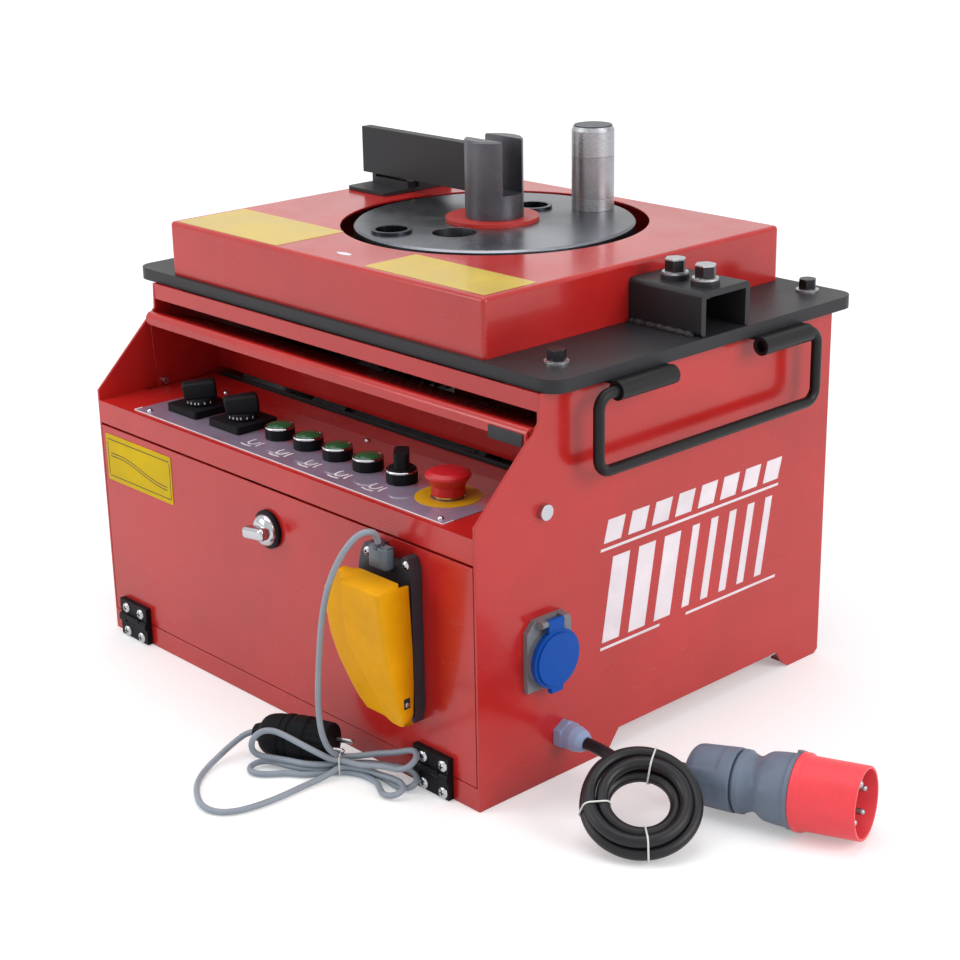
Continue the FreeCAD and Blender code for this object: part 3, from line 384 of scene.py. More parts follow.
def bandFinish(name, band, rest, levels, half, rough):
    # metal with bands of another tone: the height is within half a band of one of the levels
    tree, shader = newFinish(name, rough, metallic=0.9)
    height = addNode(tree, "ShaderNodeSeparateXYZ", objectPlace(tree)).outputs["Z"]
    share = 0.0
    for level in levels:
        share = maths(tree, "MAXIMUM", share, maths(tree, "COMPARE", height, level, half))
    marks = noise(tree, objectPlace(tree, scale=(1, 1, 6)), 300.0, 3.0, 0.6)
    tone = mixed(tree, share, tones(tree, marks, rest, 0.75, 1.3), tones(tree, marks, band, 0.8, 1.15))
    connect(tree, shader, tone, spread(tree, marks, rough * 0.8, rough * 1.3), marks,
            strength=0.06, distance=0.0002, edge=0.0005)


def labelFinish(name, front, back, level, softness):
    # glossy film over print: one colour near the front edge, another behind it
    tree, shader = newFinish(name, 0.16, coat=1.0, coatRough=0.03)
    place = objectPlace(tree)
    cloud = noise(tree, place, 16.0, 3.0, 0.5)
    depth = addNode(tree, "ShaderNodeSeparateXYZ", place).outputs["Y"]
    wobble = maths(tree, "MULTIPLY_ADD", cloud, softness, depth)
    step = spread(tree, wobble, 0.0, 1.0, level, level + softness)
    connect(tree, shader, mixed(tree, step, tones(tree, cloud, front, 0.85, 1.15), (*back, 1.0)),
            spread(tree, cloud, 0.12, 0.22))


# the kind of each finish, its colour, and what differs from the kind's own values
finishValues = {
    "redEnamel": (enamel, (0.47, 0.016, 0.014), {}),
    "redWasher": (enamel, (0.42, 0.022, 0.016), {"rough": 0.45, "coat": 0.05}),
    "motorPaint": (enamel, (0.22, 0.24, 0.27), {"rough": 0.4, "coat": 0.1}),
    "charcoalCoat": (powder, (0.024, 0.023, 0.026), {"rough": 0.45}),
    "blackCoat": (powder, (0.007, 0.007, 0.008), {"rough": 0.42, "grain": 900.0}),
    "castIron": (powder, (0.06, 0.06, 0.066), {"rough": 0.6, "grain": 500.0, "height": 0.3}),
    "pinSteel": (metal, (0.11, 0.11, 0.125), {"rough": 0.36, "stretch": (12, 12, 1), "metallic": 0.85}),
    "rollerSteel": (metal, (0.36, 0.36, 0.38), {"rough": 0.34, "stretch": (12, 12, 1), "metallic": 0.9}),
    "bushSteel": (metal, (0.045, 0.050, 0.062), {"rough": 0.3}),
    "zincPlate": (metal, (0.45, 0.45, 0.47), {"rough": 0.3}),
    "chromePlate": (metal, (0.55, 0.55, 0.58), {"rough": 0.1, "cloud": 0.05, "height": 0.02}),
    "brassRing": (metal, (0.55, 0.38, 0.14), {"rough": 0.25}),
    "boxPlastic": (moulded, (0.35, 0.37, 0.38), {}),
    "switchPlastic": (moulded, (0.006, 0.006, 0.008), {"rough": 0.45, "specular": 0.12}),
    "greenCap": (moulded, (0.014, 0.095, 0.035), {"rough": 0.2, "coat": 0.5, "height": 0.02}),
    "stopCap": (moulded, (0.55, 0.012, 0.018), {"rough": 0.38, "coat": 0.1, "height": 0.02}),
    "stopDisc": (moulded, (0.60, 0.32, 0.006), {"rough": 0.35}),
    "pedalPlastic": (moulded, (0.024, 0.026, 0.033), {"rough": 0.4, "coat": 0.1}),
    "bossPlastic": (moulded, (0.10, 0.125, 0.155), {"rough": 0.35, "coat": 0.2}),
    "yellowPlastic": (moulded, (0.74, 0.34, 0.001), {"rough": 0.4, "cloud": 0.06}),
    "treadlePlastic": (moulded, (0.74, 0.34, 0.001),
                       {"rough": 0.5, "grain": 260.0, "height": 0.05, "specular": 0.15}),
    "flangePlastic": (moulded, (0.19, 0.195, 0.21), {"rough": 0.38}),
    "bluePlastic": (moulded, (0.004, 0.075, 0.38), {"rough": 0.35, "height": 0.02, "specular": 0.15}),
    "glandPlastic": (moulded, (0.30, 0.38, 0.58), {"rough": 0.35}),
    "plugGreyPlastic": (moulded, (0.14, 0.18, 0.24), {"rough": 0.45}),
    "plugRedPlastic": (moulded, (0.85, 0.065, 0.080), {"rough": 0.38}),
    "plugBlackPlastic": (moulded, (0.008, 0.009, 0.011), {"rough": 0.55, "height": 0.1, "specular": 0.07}),
    "leadRubber": (moulded, (0.008, 0.008, 0.010), {"rough": 0.4, "grain": 600.0}),
    "cordPlastic": (moulded, (0.27, 0.31, 0.36), {"rough": 0.4, "grain": 600.0}),
    "tieCord": (moulded, (0.75, 0.75, 0.72), {"rough": 0.4}),
    # painted shade: a near-black for slots and recesses too small to model, standing in for the shade inside them
    "gapBlack": (moulded, (0.004, 0.004, 0.005), {"rough": 0.7}),
    "rubberBlack": (moulded, (0.007, 0.007, 0.008), {"rough": 0.6, "height": 0.15}),
    "rubberDark": (moulded, (0.030, 0.031, 0.035), {"rough": 0.65, "height": 0.2}),
    "whitePrint": (moulded, (0.80, 0.72, 0.76), {"rough": 0.45, "height": 0.03}),
    "blackPrint": (moulded, (0.007, 0.007, 0.008), {"rough": 0.45, "height": 0.03}),
    "sheetYellow": (moulded, (0.62, 0.43, 0.05), {"rough": 0.35, "coat": 0.2, "height": 0.03}),
    "labelYellow": (moulded, (0.62, 0.42, 0.004), {"rough": 0.5, "height": 0.03, "specular": 0.12}),
    # painted highlight: a pale tone for the bright rim of the label
    "edgeWhite": (moulded, (0.85, 0.80, 0.82), {"rough": 0.3, "height": 0.02}),
}
for finishName, (kind, colour, values) in finishValues.items():
    kind(finishName, colour, **values)
discFinish("discSteel", (0.25, 0.26, 0.29), (-0.0047, 0.306 + doorPlane), 0.3)
bandFinish("pinEnd", (0.045, 0.050, 0.062), (0.36, 0.36, 0.38), (0.5085,), 0.0012, 0.34)
bandFinish("boltCoat", (0.45, 0.45, 0.47), (0.035, 0.033, 0.036), (0.3700, 0.4156, 0.4282), 0.0011, 0.34)
labelFinish("labelFilm", (0.26, 0.20, 0.28), (0.47, 0.016, 0.014), doorPlane + 0.058, 0.02)

nodeFinishes = {
    "redEnamel": ("side_panel_right", "side_panel_left", "base_pan", "rear_panel", "upper_front_band",
                  "console_panel", "disc_cover", "control_cover", "front_door"),
    "charcoalCoat": ("table_plate", "fence", "tool_socket"),
    "blackCoat": ("handle_lugs", "handle_right", "handle_left"),
    "discSteel": ("turntable_disc",),
    "pinEnd": ("bending_pin",),
    "rollerSteel": ("bending_roller",),
    "pinSteel": ("centre_pin", "spindle", "main_gear", "output_shaft", "drive_pinion"),
    "boltCoat": ("cap_screws",),
    "zincPlate": ("spindle_bearings",),
    "chromePlate": ("pivot_bolts", "door_latch"),
    "bushSteel": ("disc_bushes",),
    "redWasher": ("centre_washer",),
    "castIron": ("bearing_housing", "reducer_case"),
    "motorPaint": ("drive_motor",),
    "boxPlastic": ("control_box",),
    "switchPlastic": ("switch_bases", "button_bezels", "selector_knob", "estop_stem", "cam_knob_1", "cam_knob_2",
                      "hinge_leaves", "door_leaves"),
    "greenCap": ("green_button_1", "green_button_2", "green_button_3", "green_button_4"),
    "stopCap": ("estop_head",),
    "stopDisc": ("estop_plate",),
    "pedalPlastic": ("pedal_base", "pedal_plug"),
    "yellowPlastic": ("pedal_treadle",),
    "flangePlastic": ("socket_flange",),
    "bluePlastic": ("socket_lid",),
    "glandPlastic": ("cable_gland",),
    "plugRedPlastic": ("mains_plug",),
    "leadRubber": ("mains_lead_run", "mains_lead_coil", "mains_lead_tail"),
    "cordPlastic": ("pedal_cord_drop", "pedal_cord_hank", "pedal_cord_tail"),
}


def dress(piece, finishName):
    piece.data.materials.clear()
    piece.data.materials.append(finishes[finishName])
    return piece


for finishName, nodeNames in nodeFinishes.items():
    for nodeName in nodeNames:
        dress(cadNodes[nodeName], finishName)
print("finishes made,", len(finishes))

# Camera

cameraValues = {"place": (1371.8, -990.7, 822.6), "heading": 47.29, "down": 19.55, "roll": -1.04,
                "lens": 72.65, "sensor": 36.0}


def makeCamera():
    # the view direction from heading and tilt, then a small roll about it
    heading, down, roll = [math.radians(cameraValues[angle]) for angle in ("heading", "down", "roll")]
    back = np.array((math.sin(heading) * math.cos(down), -math.cos(heading) * math.cos(down), math.sin(down)))
    level = np.array((math.cos(heading), math.sin(heading), 0.0))
    up = np.cross(back, level)
    matrix = np.eye(4)
    matrix[:3, 0] = math.cos(roll) * level + math.sin(roll) * up
    matrix[:3, 1] = math.cos(roll) * up - math.sin(roll) * level
    matrix[:3, 2] = back
    matrix[:3, 3] = spot(*cameraValues["place"])
    data = bpy.data.cameras.new("camera")
    data.sensor_width = cameraValues["sensor"]
    data.lens = cameraValues["lens"]
    data.clip_start = 0.05
    data.clip_end = 60.0
    camera = addObject("camera", data)
    camera.matrix_world = Matrix(matrix.tolist())
    bpy.context.scene.camera = camera


makeCamera()
print("camera made")

# Cords

def splinePath(route):
    # the points Blender gives for a NURBS spline of order 3 with the route (mm) as its control points
    points = spots(route)
    curve = bpy.data.curves.new("route", "CURVE")
    curve.dimensions = "3D"
    spline = curve.splines.new("NURBS")
    spline.points.add(len(points) - 1)
    spline.points.foreach_set("co", np.column_stack((points, np.ones(len(points)))).ravel())
    spline.order_u = 3
    spline.use_endpoint_u = True
    spline.resolution_u = 10
    holder = addObject("route", curve)
    bpy.context.view_layer.update()
    mesh = bpy.data.meshes.new_from_object(holder)
    path = np.empty(len(mesh.vertices) * 3)
    mesh.vertices.foreach_get("co", path)
    bpy.data.objects.remove(holder)
    bpy.data.meshes.remove(mesh)
    return path.reshape(-1, 3)


def pathLength(path):
    return float(np.linalg.norm(np.diff(path, axis=0), axis=1).sum())


def tieLoop(name, path, place, way, strandRadius, wire):
    # the tight outline of the strands that cross a plane: strand centre + radius * direction of the outermost strand
    way, side, up = crossFrame(way)
    height = (path - place) @ way
    cross = np.nonzero(height[:-1] * height[1:] <= 0)[0]
    part = (height[cross] / (height[cross] - height[cross + 1]))[:, None]
    centres = path[cross] * (1 - part) + path[cross + 1] * part - place
    centres = centres[np.linalg.norm(centres, axis=1) < 0.03]      # the bundle's own strands are this near
    flat = np.stack((centres @ side, centres @ up), -1)
    angle = circle(72)
    around = np.stack((np.cos(angle), np.sin(angle)), -1)
    outermost = (around @ flat.T).argmax(1)
    loop = flat[outermost] + (strandRadius + wire * 0.8) * around
    ring = place + loop[:, :1] * side + loop[:, 1:] * up
    ring[:, 2] = np.maximum(ring[:, 2], wire)     # pressed flat where the strands lie on the floor
    return dress(tube(name, ring, wire, "machine", 8, closed=True), "tieCord")


leadValues = {"diameter": 11.0, "coilCentre": (417.6, 64.0, 33.6), "coilRadius": 38.9, "strandOut": 8.6,
              "turns": 3.69, "pointsPerTurn": 14, "startAngle": 50.0, "strandStart": -90.0, "strandTwist": 82.0,
              "fan": 1.3, "tieAngles": (72.0, 187.0, 273.0), "tieWire": 0.0008}
coilAlong = np.array((0.678, 0.735, 0.0))     # the two directions of the leaning coil's plane
coilUp = np.array((-0.6365, 0.587, 0.5))
leadRun = [(320.1, 101, 40), (337, 101, 40), (356, 101.4, 37.2), (376, 100.6, 34.4), (396, 101.2, 36)]
leadTail = [(372, 54.5, 44.5), (367.5, 70, 48.5), (368.5, 88, 48.5), (374.5, 105, 45.5), (384, 120, 40),
    (394.5, 132.5, 34), (404.6, 142.7, 28.6), (411, 149.4, 26.6)]


def coilTurns():
    # strand centre = coil centre + (radius + out*cos)*radial + out*sin*axis, its angle in the bundle turning slowly
    v = leadValues
    turn = np.linspace(0, v["turns"], int(v["turns"] * v["pointsPerTurn"]) + 1)
    ring = np.radians(v["startAngle"] - 360.0 * turn)
    strand = np.radians(v["strandStart"] - v["strandTwist"] * turn)
    out = v["strandOut"] + v["fan"] * np.clip(np.sin(ring), 0, 1) ** 2
    width = (v["coilRadius"] + out * np.cos(strand))[:, None]
    lift = (out * np.sin(strand))[:, None] * np.cross(coilAlong, coilUp)
    radial = np.cos(ring)[:, None] * coilAlong + np.sin(ring)[:, None] * coilUp
    return (np.array(v["coilCentre"]) + width * radial + lift).tolist()


def makeMainsLead():
    v = leadValues
    path = splinePath(leadRun + coilTurns() + leadTail)
    radius = v["diameter"] / 2000.0
    lead = dress(tube("mains_lead", path, radius, "machine", 20), "leadRubber")
    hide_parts("mains_lead_run", "mains_lead_coil", "mains_lead_tail")
    ties = []
    for number, angle in enumerate(v["tieAngles"], 1):
        ring = math.radians(angle)
        place = v["coilCentre"] + v["coilRadius"] * (math.cos(ring) * coilAlong + math.sin(ring) * coilUp)
        way = -math.sin(ring) * coilAlong + math.cos(ring) * coilUp
        ties.append(tieLoop("lead_tie_%d" % number, path, spot(*place), way, radius, v["tieWire"]))
    return lead, path, ties


cordValues = {"diameter": 5.6, "tiePlace": (152.0, -40.0, 9.0), "tieWay": (0.74, 0.67, 0.0), "tieWire": 0.0007,
              "bendStart": 80.0, "floorEnd": 32.0}
cordDrop = [(191, -19, 226.2), (193, -22.5, 235), (195, -31, 240.5), (192, -40, 240), (185, -47, 230),
    (175, -52, 212), (165.5, -56, 188), (157.5, -58, 155), (152, -58.5, 115), (150, -60, 80), (151, -60, 52),
    (151.5, -54.5, 33), (150, -46, 21.5)]
# the turns of the hank in their order along the cord, each one back through the tie
upperRight = [(150.1, -37.9, 15.5), (157.5, -31.5, 16), (165.3, -27.1, 18), (179.1, -17.8, 22), (193.8, -12.3, 26),
    (203, -9, 29.6), (211, -7, 33), (219, -7.8, 34.6), (225.4, -13.4, 32.4), (225.2, -20.6, 27.6),
    (218.4, -25.4, 23.4), (209, -26, 21.2), (200, -26.2, 19.6), (191.1, -28.2, 18), (174.4, -34.9, 15),
    (162, -38.5, 14.8), (153.9, -42.1, 14.8)]
upperLeft = [(149.5, -49.5, 17), (144, -58.5, 24.5), (134, -64.8, 29.7), (123.7, -68, 32.6), (113.4, -71.5, 35.6),
    (104.5, -76, 38.4), (97.6, -83, 38.6), (94, -90.4, 34.2), (92.4, -93.4, 26.4), (92, -91, 18), (95, -84.4, 12.6),
    (103.5, -77.4, 11.4), (116.9, -72.2, 12.2), (131, -66.5, 12.2), (141, -57.5, 11.2), (146.5, -46.5, 9.6),
    (150.1, -37.9, 9)]
middleRight = [(160, -29.5, 10), (172, -20.5, 11), (190, -12.5, 11.8), (201, -8.8, 12.4), (210, -7, 12.6),
    (218.6, -8, 11.6), (224.4, -13, 8.8), (223.4, -19.6, 5.4), (216, -23.8, 3.4), (206, -23.8, 3), (192.7, -21.9, 3),
    (178.4, -22.6, 3), (164.3, -27, 3), (150.1, -37.9, 3.2)]
lowerLeft = [(145, -45, 3.6), (141, -53.5, 4.8), (134.5, -61.5, 6), (124.5, -68.8, 6.6), (113, -73.4, 6.6),
    (102.4, -75.6, 6.2), (93.2, -79, 5.2), (87.6, -87, 3.9), (90.4, -95.4, 3), (98.8, -98.6, 3), (107.2, -94.6, 3),
    (114, -87.4, 3), (122, -76.5, 3), (134, -69, 3), (142.5, -58.5, 3), (148.5, -49, 3), (153.9, -42.1, 3.2)]
lowerRight = [(163, -34.5, 3), (176, -30.6, 3), (190.7, -31, 3), (201, -36.2, 3), (210.6, -41.4, 3.2),
    (219.8, -41.4, 4.2), (225.4, -35.6, 6), (224.8, -28.4, 8.2), (217.6, -24.4, 9.6), (208, -24.2, 9.6),
    (199, -25.2, 9), (190.7, -26.6, 8.4), (176, -28, 8.2), (163, -34.8, 8.8), (153.9, -42.1, 9)]
cordLoop = [(154, -50.5, 6.6), (151.8, -61, 3.4), (151, -78, 3), (152, -97, 3), (152, -116, 3), (150, -134.4, 3),
    (145.5, -150.6, 3), (137, -161.5, 3), (126, -165.8, 3), (113, -164.5, 3), (101, -159, 3), (88, -151, 3),
    (75, -139, 3), (64.5, -123, 3.6), (58.5, -106, 6.2), (56, -91.5, 10.5), (57, -80.5, 15.5), (60.5, -73.5, 19.5),
    (66, -69.5, 21.6)]


def makePedalCord():
    v = cordValues
    path = splinePath(cordDrop + upperRight + upperLeft + middleRight + lowerLeft + lowerRight + cordLoop)
    radius = v["diameter"] / 2000.0
    cord = dress(tube("pedal_cord", path, radius, None, 12), "cordPlastic")
    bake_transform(cord)
    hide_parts("pedal_cord_drop", "pedal_cord_hank", "pedal_cord_tail")
    return cord, path, tieLoop("cord_tie", path, spot(*v["tiePlace"]), v["tieWay"], radius, v["tieWire"])


leadPiece, leadPath, leadTies = makeMainsLead()
cordPiece, cordPath, cordTie = makePedalCord()
print("mains lead", round(pathLength(leadPath), 3), "m, pedal cord", round(pathLength(cordPath), 3), "m")

# Plugs

def roundBody(name, profile, start, end, steps, shape=None):
    # (distance, radius) in mm turned about start to end; shape(angle, distance, radius) gives another radius
    axis, side, up = crossFrame(np.subtract(end, start))
    distance, radius = np.array(profile, float).T[:, :, None]
    angle = circle(steps)[None]
    if shape is not None:
        radius = shape(angle, distance, radius)
    around = np.cos(angle)[..., None] * side + np.sin(angle)[..., None] * up
    points = spots(start) + distance[..., None] / 1000.0 * axis + radius[..., None] / 1000.0 * around
    return putMesh(name, points.reshape(-1, 3), shellFaces(len(profile), steps), "machine", sharpAngle=38.0)


def fineProfile(rows):
    # the corners of a profile with more points between them, no further apart than 1.5 mm
    rows = np.array(rows, float)
    parts = [rows[:1]]
    for a, b in zip(rows[:-1], rows[1:]):
        count = max(1, int(np.ceil(np.linalg.norm(b - a) / 1.5)))
        parts.append(a + (b - a) * (np.arange(1, count + 1) / count)[:, None])
    return np.concatenate(parts)


mainsPlugValues = {
    "start": (404.6, 142.7, 28.6), "end": (552.0, 190.0, 37.0),
    "cap": [(0, 6), (0, 16), (0.4, 18.6), (1.6, 21), (3.4, 23.4), (5.8, 25.2), (9, 26), (25, 27), (42.6, 28),
            (43.6, 27.8), (44, 27), (44, 22)],
    "body": [(44.6, 22), (44.6, 25), (46.6, 25.4), (47.2, 27.6), (51.4, 27.4), (52.4, 26.2), (56, 24.8),
             (58.5, 23.8), (61, 23.6), (64.5, 25), (68.5, 28), (72, 29.8), (76, 30.5), (90, 31.2),
             (92.5, 31.3), (93, 32.6), (97.4, 32.8), (97.6, 32), (97.6, 24)],
    "shroud": [(97.8, 20), (97.8, 33), (98.4, 33.6), (103.4, 33.6), (105, 32.8), (107, 31.6), (154, 31.4),
               (155, 30.9), (155, 29), (154, 28.6), (110, 28.4), (110, 20), (97.8, 20)],
    # angle, radius and reach of each pin, the radius of their ring and its distance along the plug
    "pins": ((90, 3.6, 44), (162, 2.8, 42), (234, 2.8, 42), (306, 2.8, 42), (18, 2.8, 42)),
    "pinRing": 17.0, "pinBase": 108.0,
    # distance along the plug and out from its axis
    "key": (128.0, -31.8), "latch": (95.2, 32.4), "latchAngle": 118}


def capShape(angle, distance, radius):
    # four shallow thumb panels: 0.9 mm lower inside a rounded panel of each quarter
    quarter = np.abs((angle + math.pi / 4 + 0.35) % (math.pi / 2) - math.pi / 4)
    across = 1 - wave(quarter, 0.50, 0.56)
    along = wave(distance, 3.0, 5.0) * (1 - wave(distance, 30.0, 33.0))
    return radius - 0.9 * across * along


def bodyShape(angle, distance, radius):
    # soft scallops round the waist, where fingers hold it
    band = wave(distance, 60.0, 66.0) * (1 - wave(distance, 74.0, 82.0))
    return radius - 0.7 * band * (0.5 + 0.5 * np.cos(12 * angle))


def makePin(name, base, axis, reach, tip):
    # tip is the end of the pin's profile, after a straight part of its first point's radius
    profile = [(0, 0.3), (0, tip[0][1]), *tip]
    pin = roundBody(name, profile, base, base + reach * axis, 20)
    return dress(pin, "zincPlate")


def makeMainsPlug():
    v = mainsPlugValues
    start, end = np.array(v["start"]), np.array(v["end"])
    axis, side, up = crossFrame(end - start)
    cap = roundBody("plug_cap", fineProfile(v["cap"]), start, end, 128, capShape)
    body = roundBody("plug_body", fineProfile(v["body"]), start, end, 128, bodyShape)
    shroud = roundBody("plug_shroud", v["shroud"], start, end, 96)
    pieces = [dress(cap, "plugGreyPlastic"), dress(body, "plugGreyPlastic"),
              dress(shroud, "plugRedPlastic")]
    for number, (angle, radius, reach) in enumerate(v["pins"], 1):
        turn = math.radians(angle)
        base = start + v["pinBase"] * axis + v["pinRing"] * (math.cos(turn) * side + math.sin(turn) * up)
        tip = [(reach - 2.5, radius), (reach - 0.8, radius * 0.8), (reach, radius * 0.4)]
        pieces.append(makePin("plug_pin_%d" % number, base, axis, reach, tip))
    # the key rib on the shroud and the latch window on the flange
    along, out = v["key"]
    rib = softBox("plug_key", start + along * axis + out * up, (46.0, 9.0, 3.0), 1.2, "machine",
                  np.stack((axis, side, up), -1))
    tilt = math.radians(v["latchAngle"])
    outward = math.cos(tilt) * side + math.sin(tilt) * up
    turn = np.stack((axis, np.cross(axis, outward), outward), -1)
    along, out = v["latch"]
    place = start + along * axis + out * outward
    frame = softBox("plug_latch_frame", place, (4.6, 17.0, 3.4), 1.2, "machine", turn)
    window = softBox("plug_latch", place + 0.9 * outward, (2.4, 11.0, 2.4), 0.9, "machine", turn)
    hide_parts("mains_plug")
    return pieces + [dress(rib, "plugRedPlastic"), dress(frame, "plugGreyPlastic"),
                     dress(window, "plugRedPlastic")]


pedalPlugValues = {
    "start": (66.0, -69.5, 21.7), "end": (136.0, -35.0, 21.7),
    "boot": [(0, 2), (0, 6.2), (1, 7.4), (8, 9.6), (9, 12.5), (11, 15.4), (14, 17.6), (18, 19), (24, 20),
             (31, 20.4), (31, 4)],
    "body": [(31.2, 12), (31.2, 20), (33, 20.1), (34, 21.4), (38, 21.5), (39, 20.6), (41.5, 20.5),
             (43, 21.5), (55, 21.5), (56.5, 20.4), (72, 19.6), (76, 19.2), (78, 18.2), (78, 2)],
    "pinSpan": 9.5, "pinBase": 77.5, "pinRadius": 2.4, "pinReach": 16.0}


def gripShape(angle, distance, radius):
    # flutes along the front half of the plug
    band = wave(distance, 56.0, 58.0) * (1 - wave(distance, 73.0, 76.0))
    return radius - 0.9 * band * (0.5 + 0.5 * np.cos(18 * angle)) ** 2


def makePedalPlug():
    v = pedalPlugValues
    start, end = np.array(v["start"]), np.array(v["end"])
    axis, side = crossFrame(end - start)[:2]
    boot = roundBody("pedal_plug_boot", fineProfile(v["boot"]), start, end, 64)
    body = roundBody("pedal_plug_body", fineProfile(v["body"]), start, end, 144, gripShape)
    pieces = [dress(boot, "plugBlackPlastic"), dress(body, "plugBlackPlastic")]
    radius, reach = v["pinRadius"], v["pinReach"]
    tip = [(reach - 1.5, radius), (reach, radius * 0.5)]
    for number, way in enumerate((-1, 1), 1):
        base = start + v["pinBase"] * axis + way * v["pinSpan"] * side
        pieces.append(makePin("pedal_plug_pin_%d" % number, base, axis, reach, tip))
    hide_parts("pedal_plug")
    return pieces


mainsPlugPieces = makeMainsPlug()
pedalPlugPieces = makePedalPlug()
print("cords, ties and plugs made")

# Pedal plate

treadleValues = {
    "right": 226.5, "wall": 2.4, "bottom": 66.5, "top": 196.0, "backTop": -28.5, "backBottom": -16.0,
    # height, then the depth of the ridge's front corner on the right wall and of the right wall's rear edge
    "heights": (66, 71.5, 90, 117.5, 144, 171, 195.8),
    "ridgeFront": (-26.5, -28.2, -34.6, -41.3, -46.3, -49, -52),
    "rearHeights": (66, 74, 101, 132, 168, 190, 204),
    "rearDepths": (-17, -16.6, -15, -14.9, -16.2, -17.2, -17.6),
    # height, then the left edge of the tray and the left edge of the ridge's crest
    "leftHeights": (66, 70.7, 86, 106, 127.7, 146.6, 166.5, 184, 196),
    "trayLeft": (170.3, 161.4, 149.3, 137.5, 130.3, 129.2, 130, 132.9, 141),
    "crestHeights": (66, 82.8, 101.6, 120.3, 137.7, 158.5, 180, 196),
    "crestLeft": (214, 207.7, 197.4, 186.4, 179.6, 178.3, 179, 180.6),
    "slope": 21.0, "rows": 56, "columns": 64}


def smoothed(heights, values, at):
    # straight interpolation, then a running mean that takes the corners off
    fine = np.linspace(min(heights), max(heights), 200)
    line = np.interp(fine, heights, values)
    kernel = np.hanning(25)
    kernel /= kernel.sum()
    padded = np.concatenate((np.full(12, line[0]), line, np.full(12, line[-1])))
    return np.interp(at, fine, np.convolve(padded, kernel, mode="valid"))[:, None]


def makeTreadle():
    # the front is depth = tray + (ridge - tray) * smooth step across the slope, on a grid of height and breadth
    v = treadleValues
    bottom, top, columns = v["bottom"], v["top"], v["columns"]
    height = np.linspace(bottom, top, v["rows"])
    left = smoothed(v["leftHeights"], v["trayLeft"], height)
    crest = smoothed(v["crestHeights"], v["crestLeft"], height)
    ridge = smoothed(v["heights"], v["ridgeFront"], height)
    rear = smoothed(v["rearHeights"], v["rearDepths"], height)
    right = v["right"] - 3.2 * (1 - wave(height, bottom, 78.0))[:, None]
    across = left + (right - left) * np.linspace(0, 1, columns)[None]
    tray = -36.0 + (185.0 - height[:, None]) * 0.114      # it leans back by 0.114 mm per mm
    depth = tray + (ridge - tray) * wave(across, crest - v["slope"], crest)
    depth = depth + 2.2 * (1 - wave(across - left, 0.0, 4.0)) + 1.2 * (1 - wave(right - across, 0.0, 2.2))
    front = np.stack((across, depth, np.repeat(height[:, None], columns, 1)), -1)
    # the top edge rises towards the back and drops at the left shoulder
    rise = 15.4 * wave(158.0 - across, 0.0, 25.0) * wave(height, 150.0, top)[:, None]
    front[..., 2] -= rise * ((height - bottom) / (top - bottom))[:, None] ** 3
    # walls: two rows of points back from the rim all round, the rim itself being the grid's edge
    rim, foot = front[-1], front[0]
    lift = 0.236 * (v["backTop"] - rim[:, 1])
    topBack = np.stack((rim[:, 0], np.full(columns, v["backTop"]), rim[:, 2] + lift), -1)
    bottomBack = np.stack((foot[:, 0], np.full(columns, v["backBottom"]), foot[:, 2] + 0.4), -1)
    topEdge = rim + (topBack - rim) * 0.12
    bottomEdge = foot + (bottomBack - foot) * 0.15
    block = np.concatenate((bottomBack[None], bottomEdge[None], front, topEdge[None], topBack[None]))
    walls = []
    for column, lean in ((0, 0.6), (-1, 0.0)):
        edge = block[:, column]
        far = edge.copy()
        far[:, 1] = np.interp(edge[:, 2], height, rear[:, 0])
        far[-2:, 1] = v["backTop"]
        far[:, 0] += lean
        walls.append((edge + (far - edge) * 0.12, far))
    (leftNear, leftFar), (rightNear, rightFar) = walls
    grid = np.concatenate((leftFar[:, None], leftNear[:, None], block, rightNear[:, None], rightFar[:, None]), 1)
    faces = gridFaces(*grid.shape[:2])[:, ::-1]
    treadle = putMesh("treadle", spots(grid.reshape(-1, 3)), faces, "pedal_treadle", sharpAngle=60.0, merge=1e-7)
    wall = treadle.modifiers.new("wall", "SOLIDIFY")
    wall.thickness = v["wall"] / 1000.0
    wall.offset = -1.0
    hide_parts("pedal_treadle")
    dress(treadle, "treadlePlastic")
    # the slot in the right wall is painted shade: a thin near-black block on the wall
    slot = softBox("treadle_slot_shade", (226.3, -23.1, 88.7), (1.2, 7.0, 10.0), 0.5, "pedal_treadle")
    dress(slot, "gapBlack")
    profile = [(0, -1.2), (2.2, -1.2), (2.3, 0.5), (1.9, 0.9), (0, 1.0)]
    pin = turned("treadle_pin", profile, (226.9, -23.1, 87.9), (1, 0, 0), "door", 24)
    dress(pin, "zincPlate")


def makeBaseScrews():
    # pan heads with a rounded rim on the pedal's base
    head = [(0, 0), (4.2, 0), (4.2, 0.6), (3.6, 1.5), (2.2, 2.1), (0, 2.3)]
    slot = [(0, 0), (1.3, 0), (1.3, 0.25), (0, 0.3)]
    for number, (x, z) in enumerate(((167.5, 210.3), (217.4, 210.4)), 1):
        screw = turned("base_screw_%d" % number, head, (x, -12.0, z), (0, -1, 0), "door", 32)
        dress(screw, "chromePlate")
        # each head's slot is painted shade: a thin near-black disc on top of the head
        dress(turned("base_screw_slot_%d" % number, slot, (x, -14.2, z), (0, -1, 0), "door", 16), "gapBlack")
    boss = softBox("pedal_boss", (192.0, -17.2, 213.1), (22.8, 11.0, 20.6), 2.6, "door")
    dress(boss, "bossPlastic")


makeTreadle()
makeBaseScrews()
print("pedal made")

# Small flat shapes

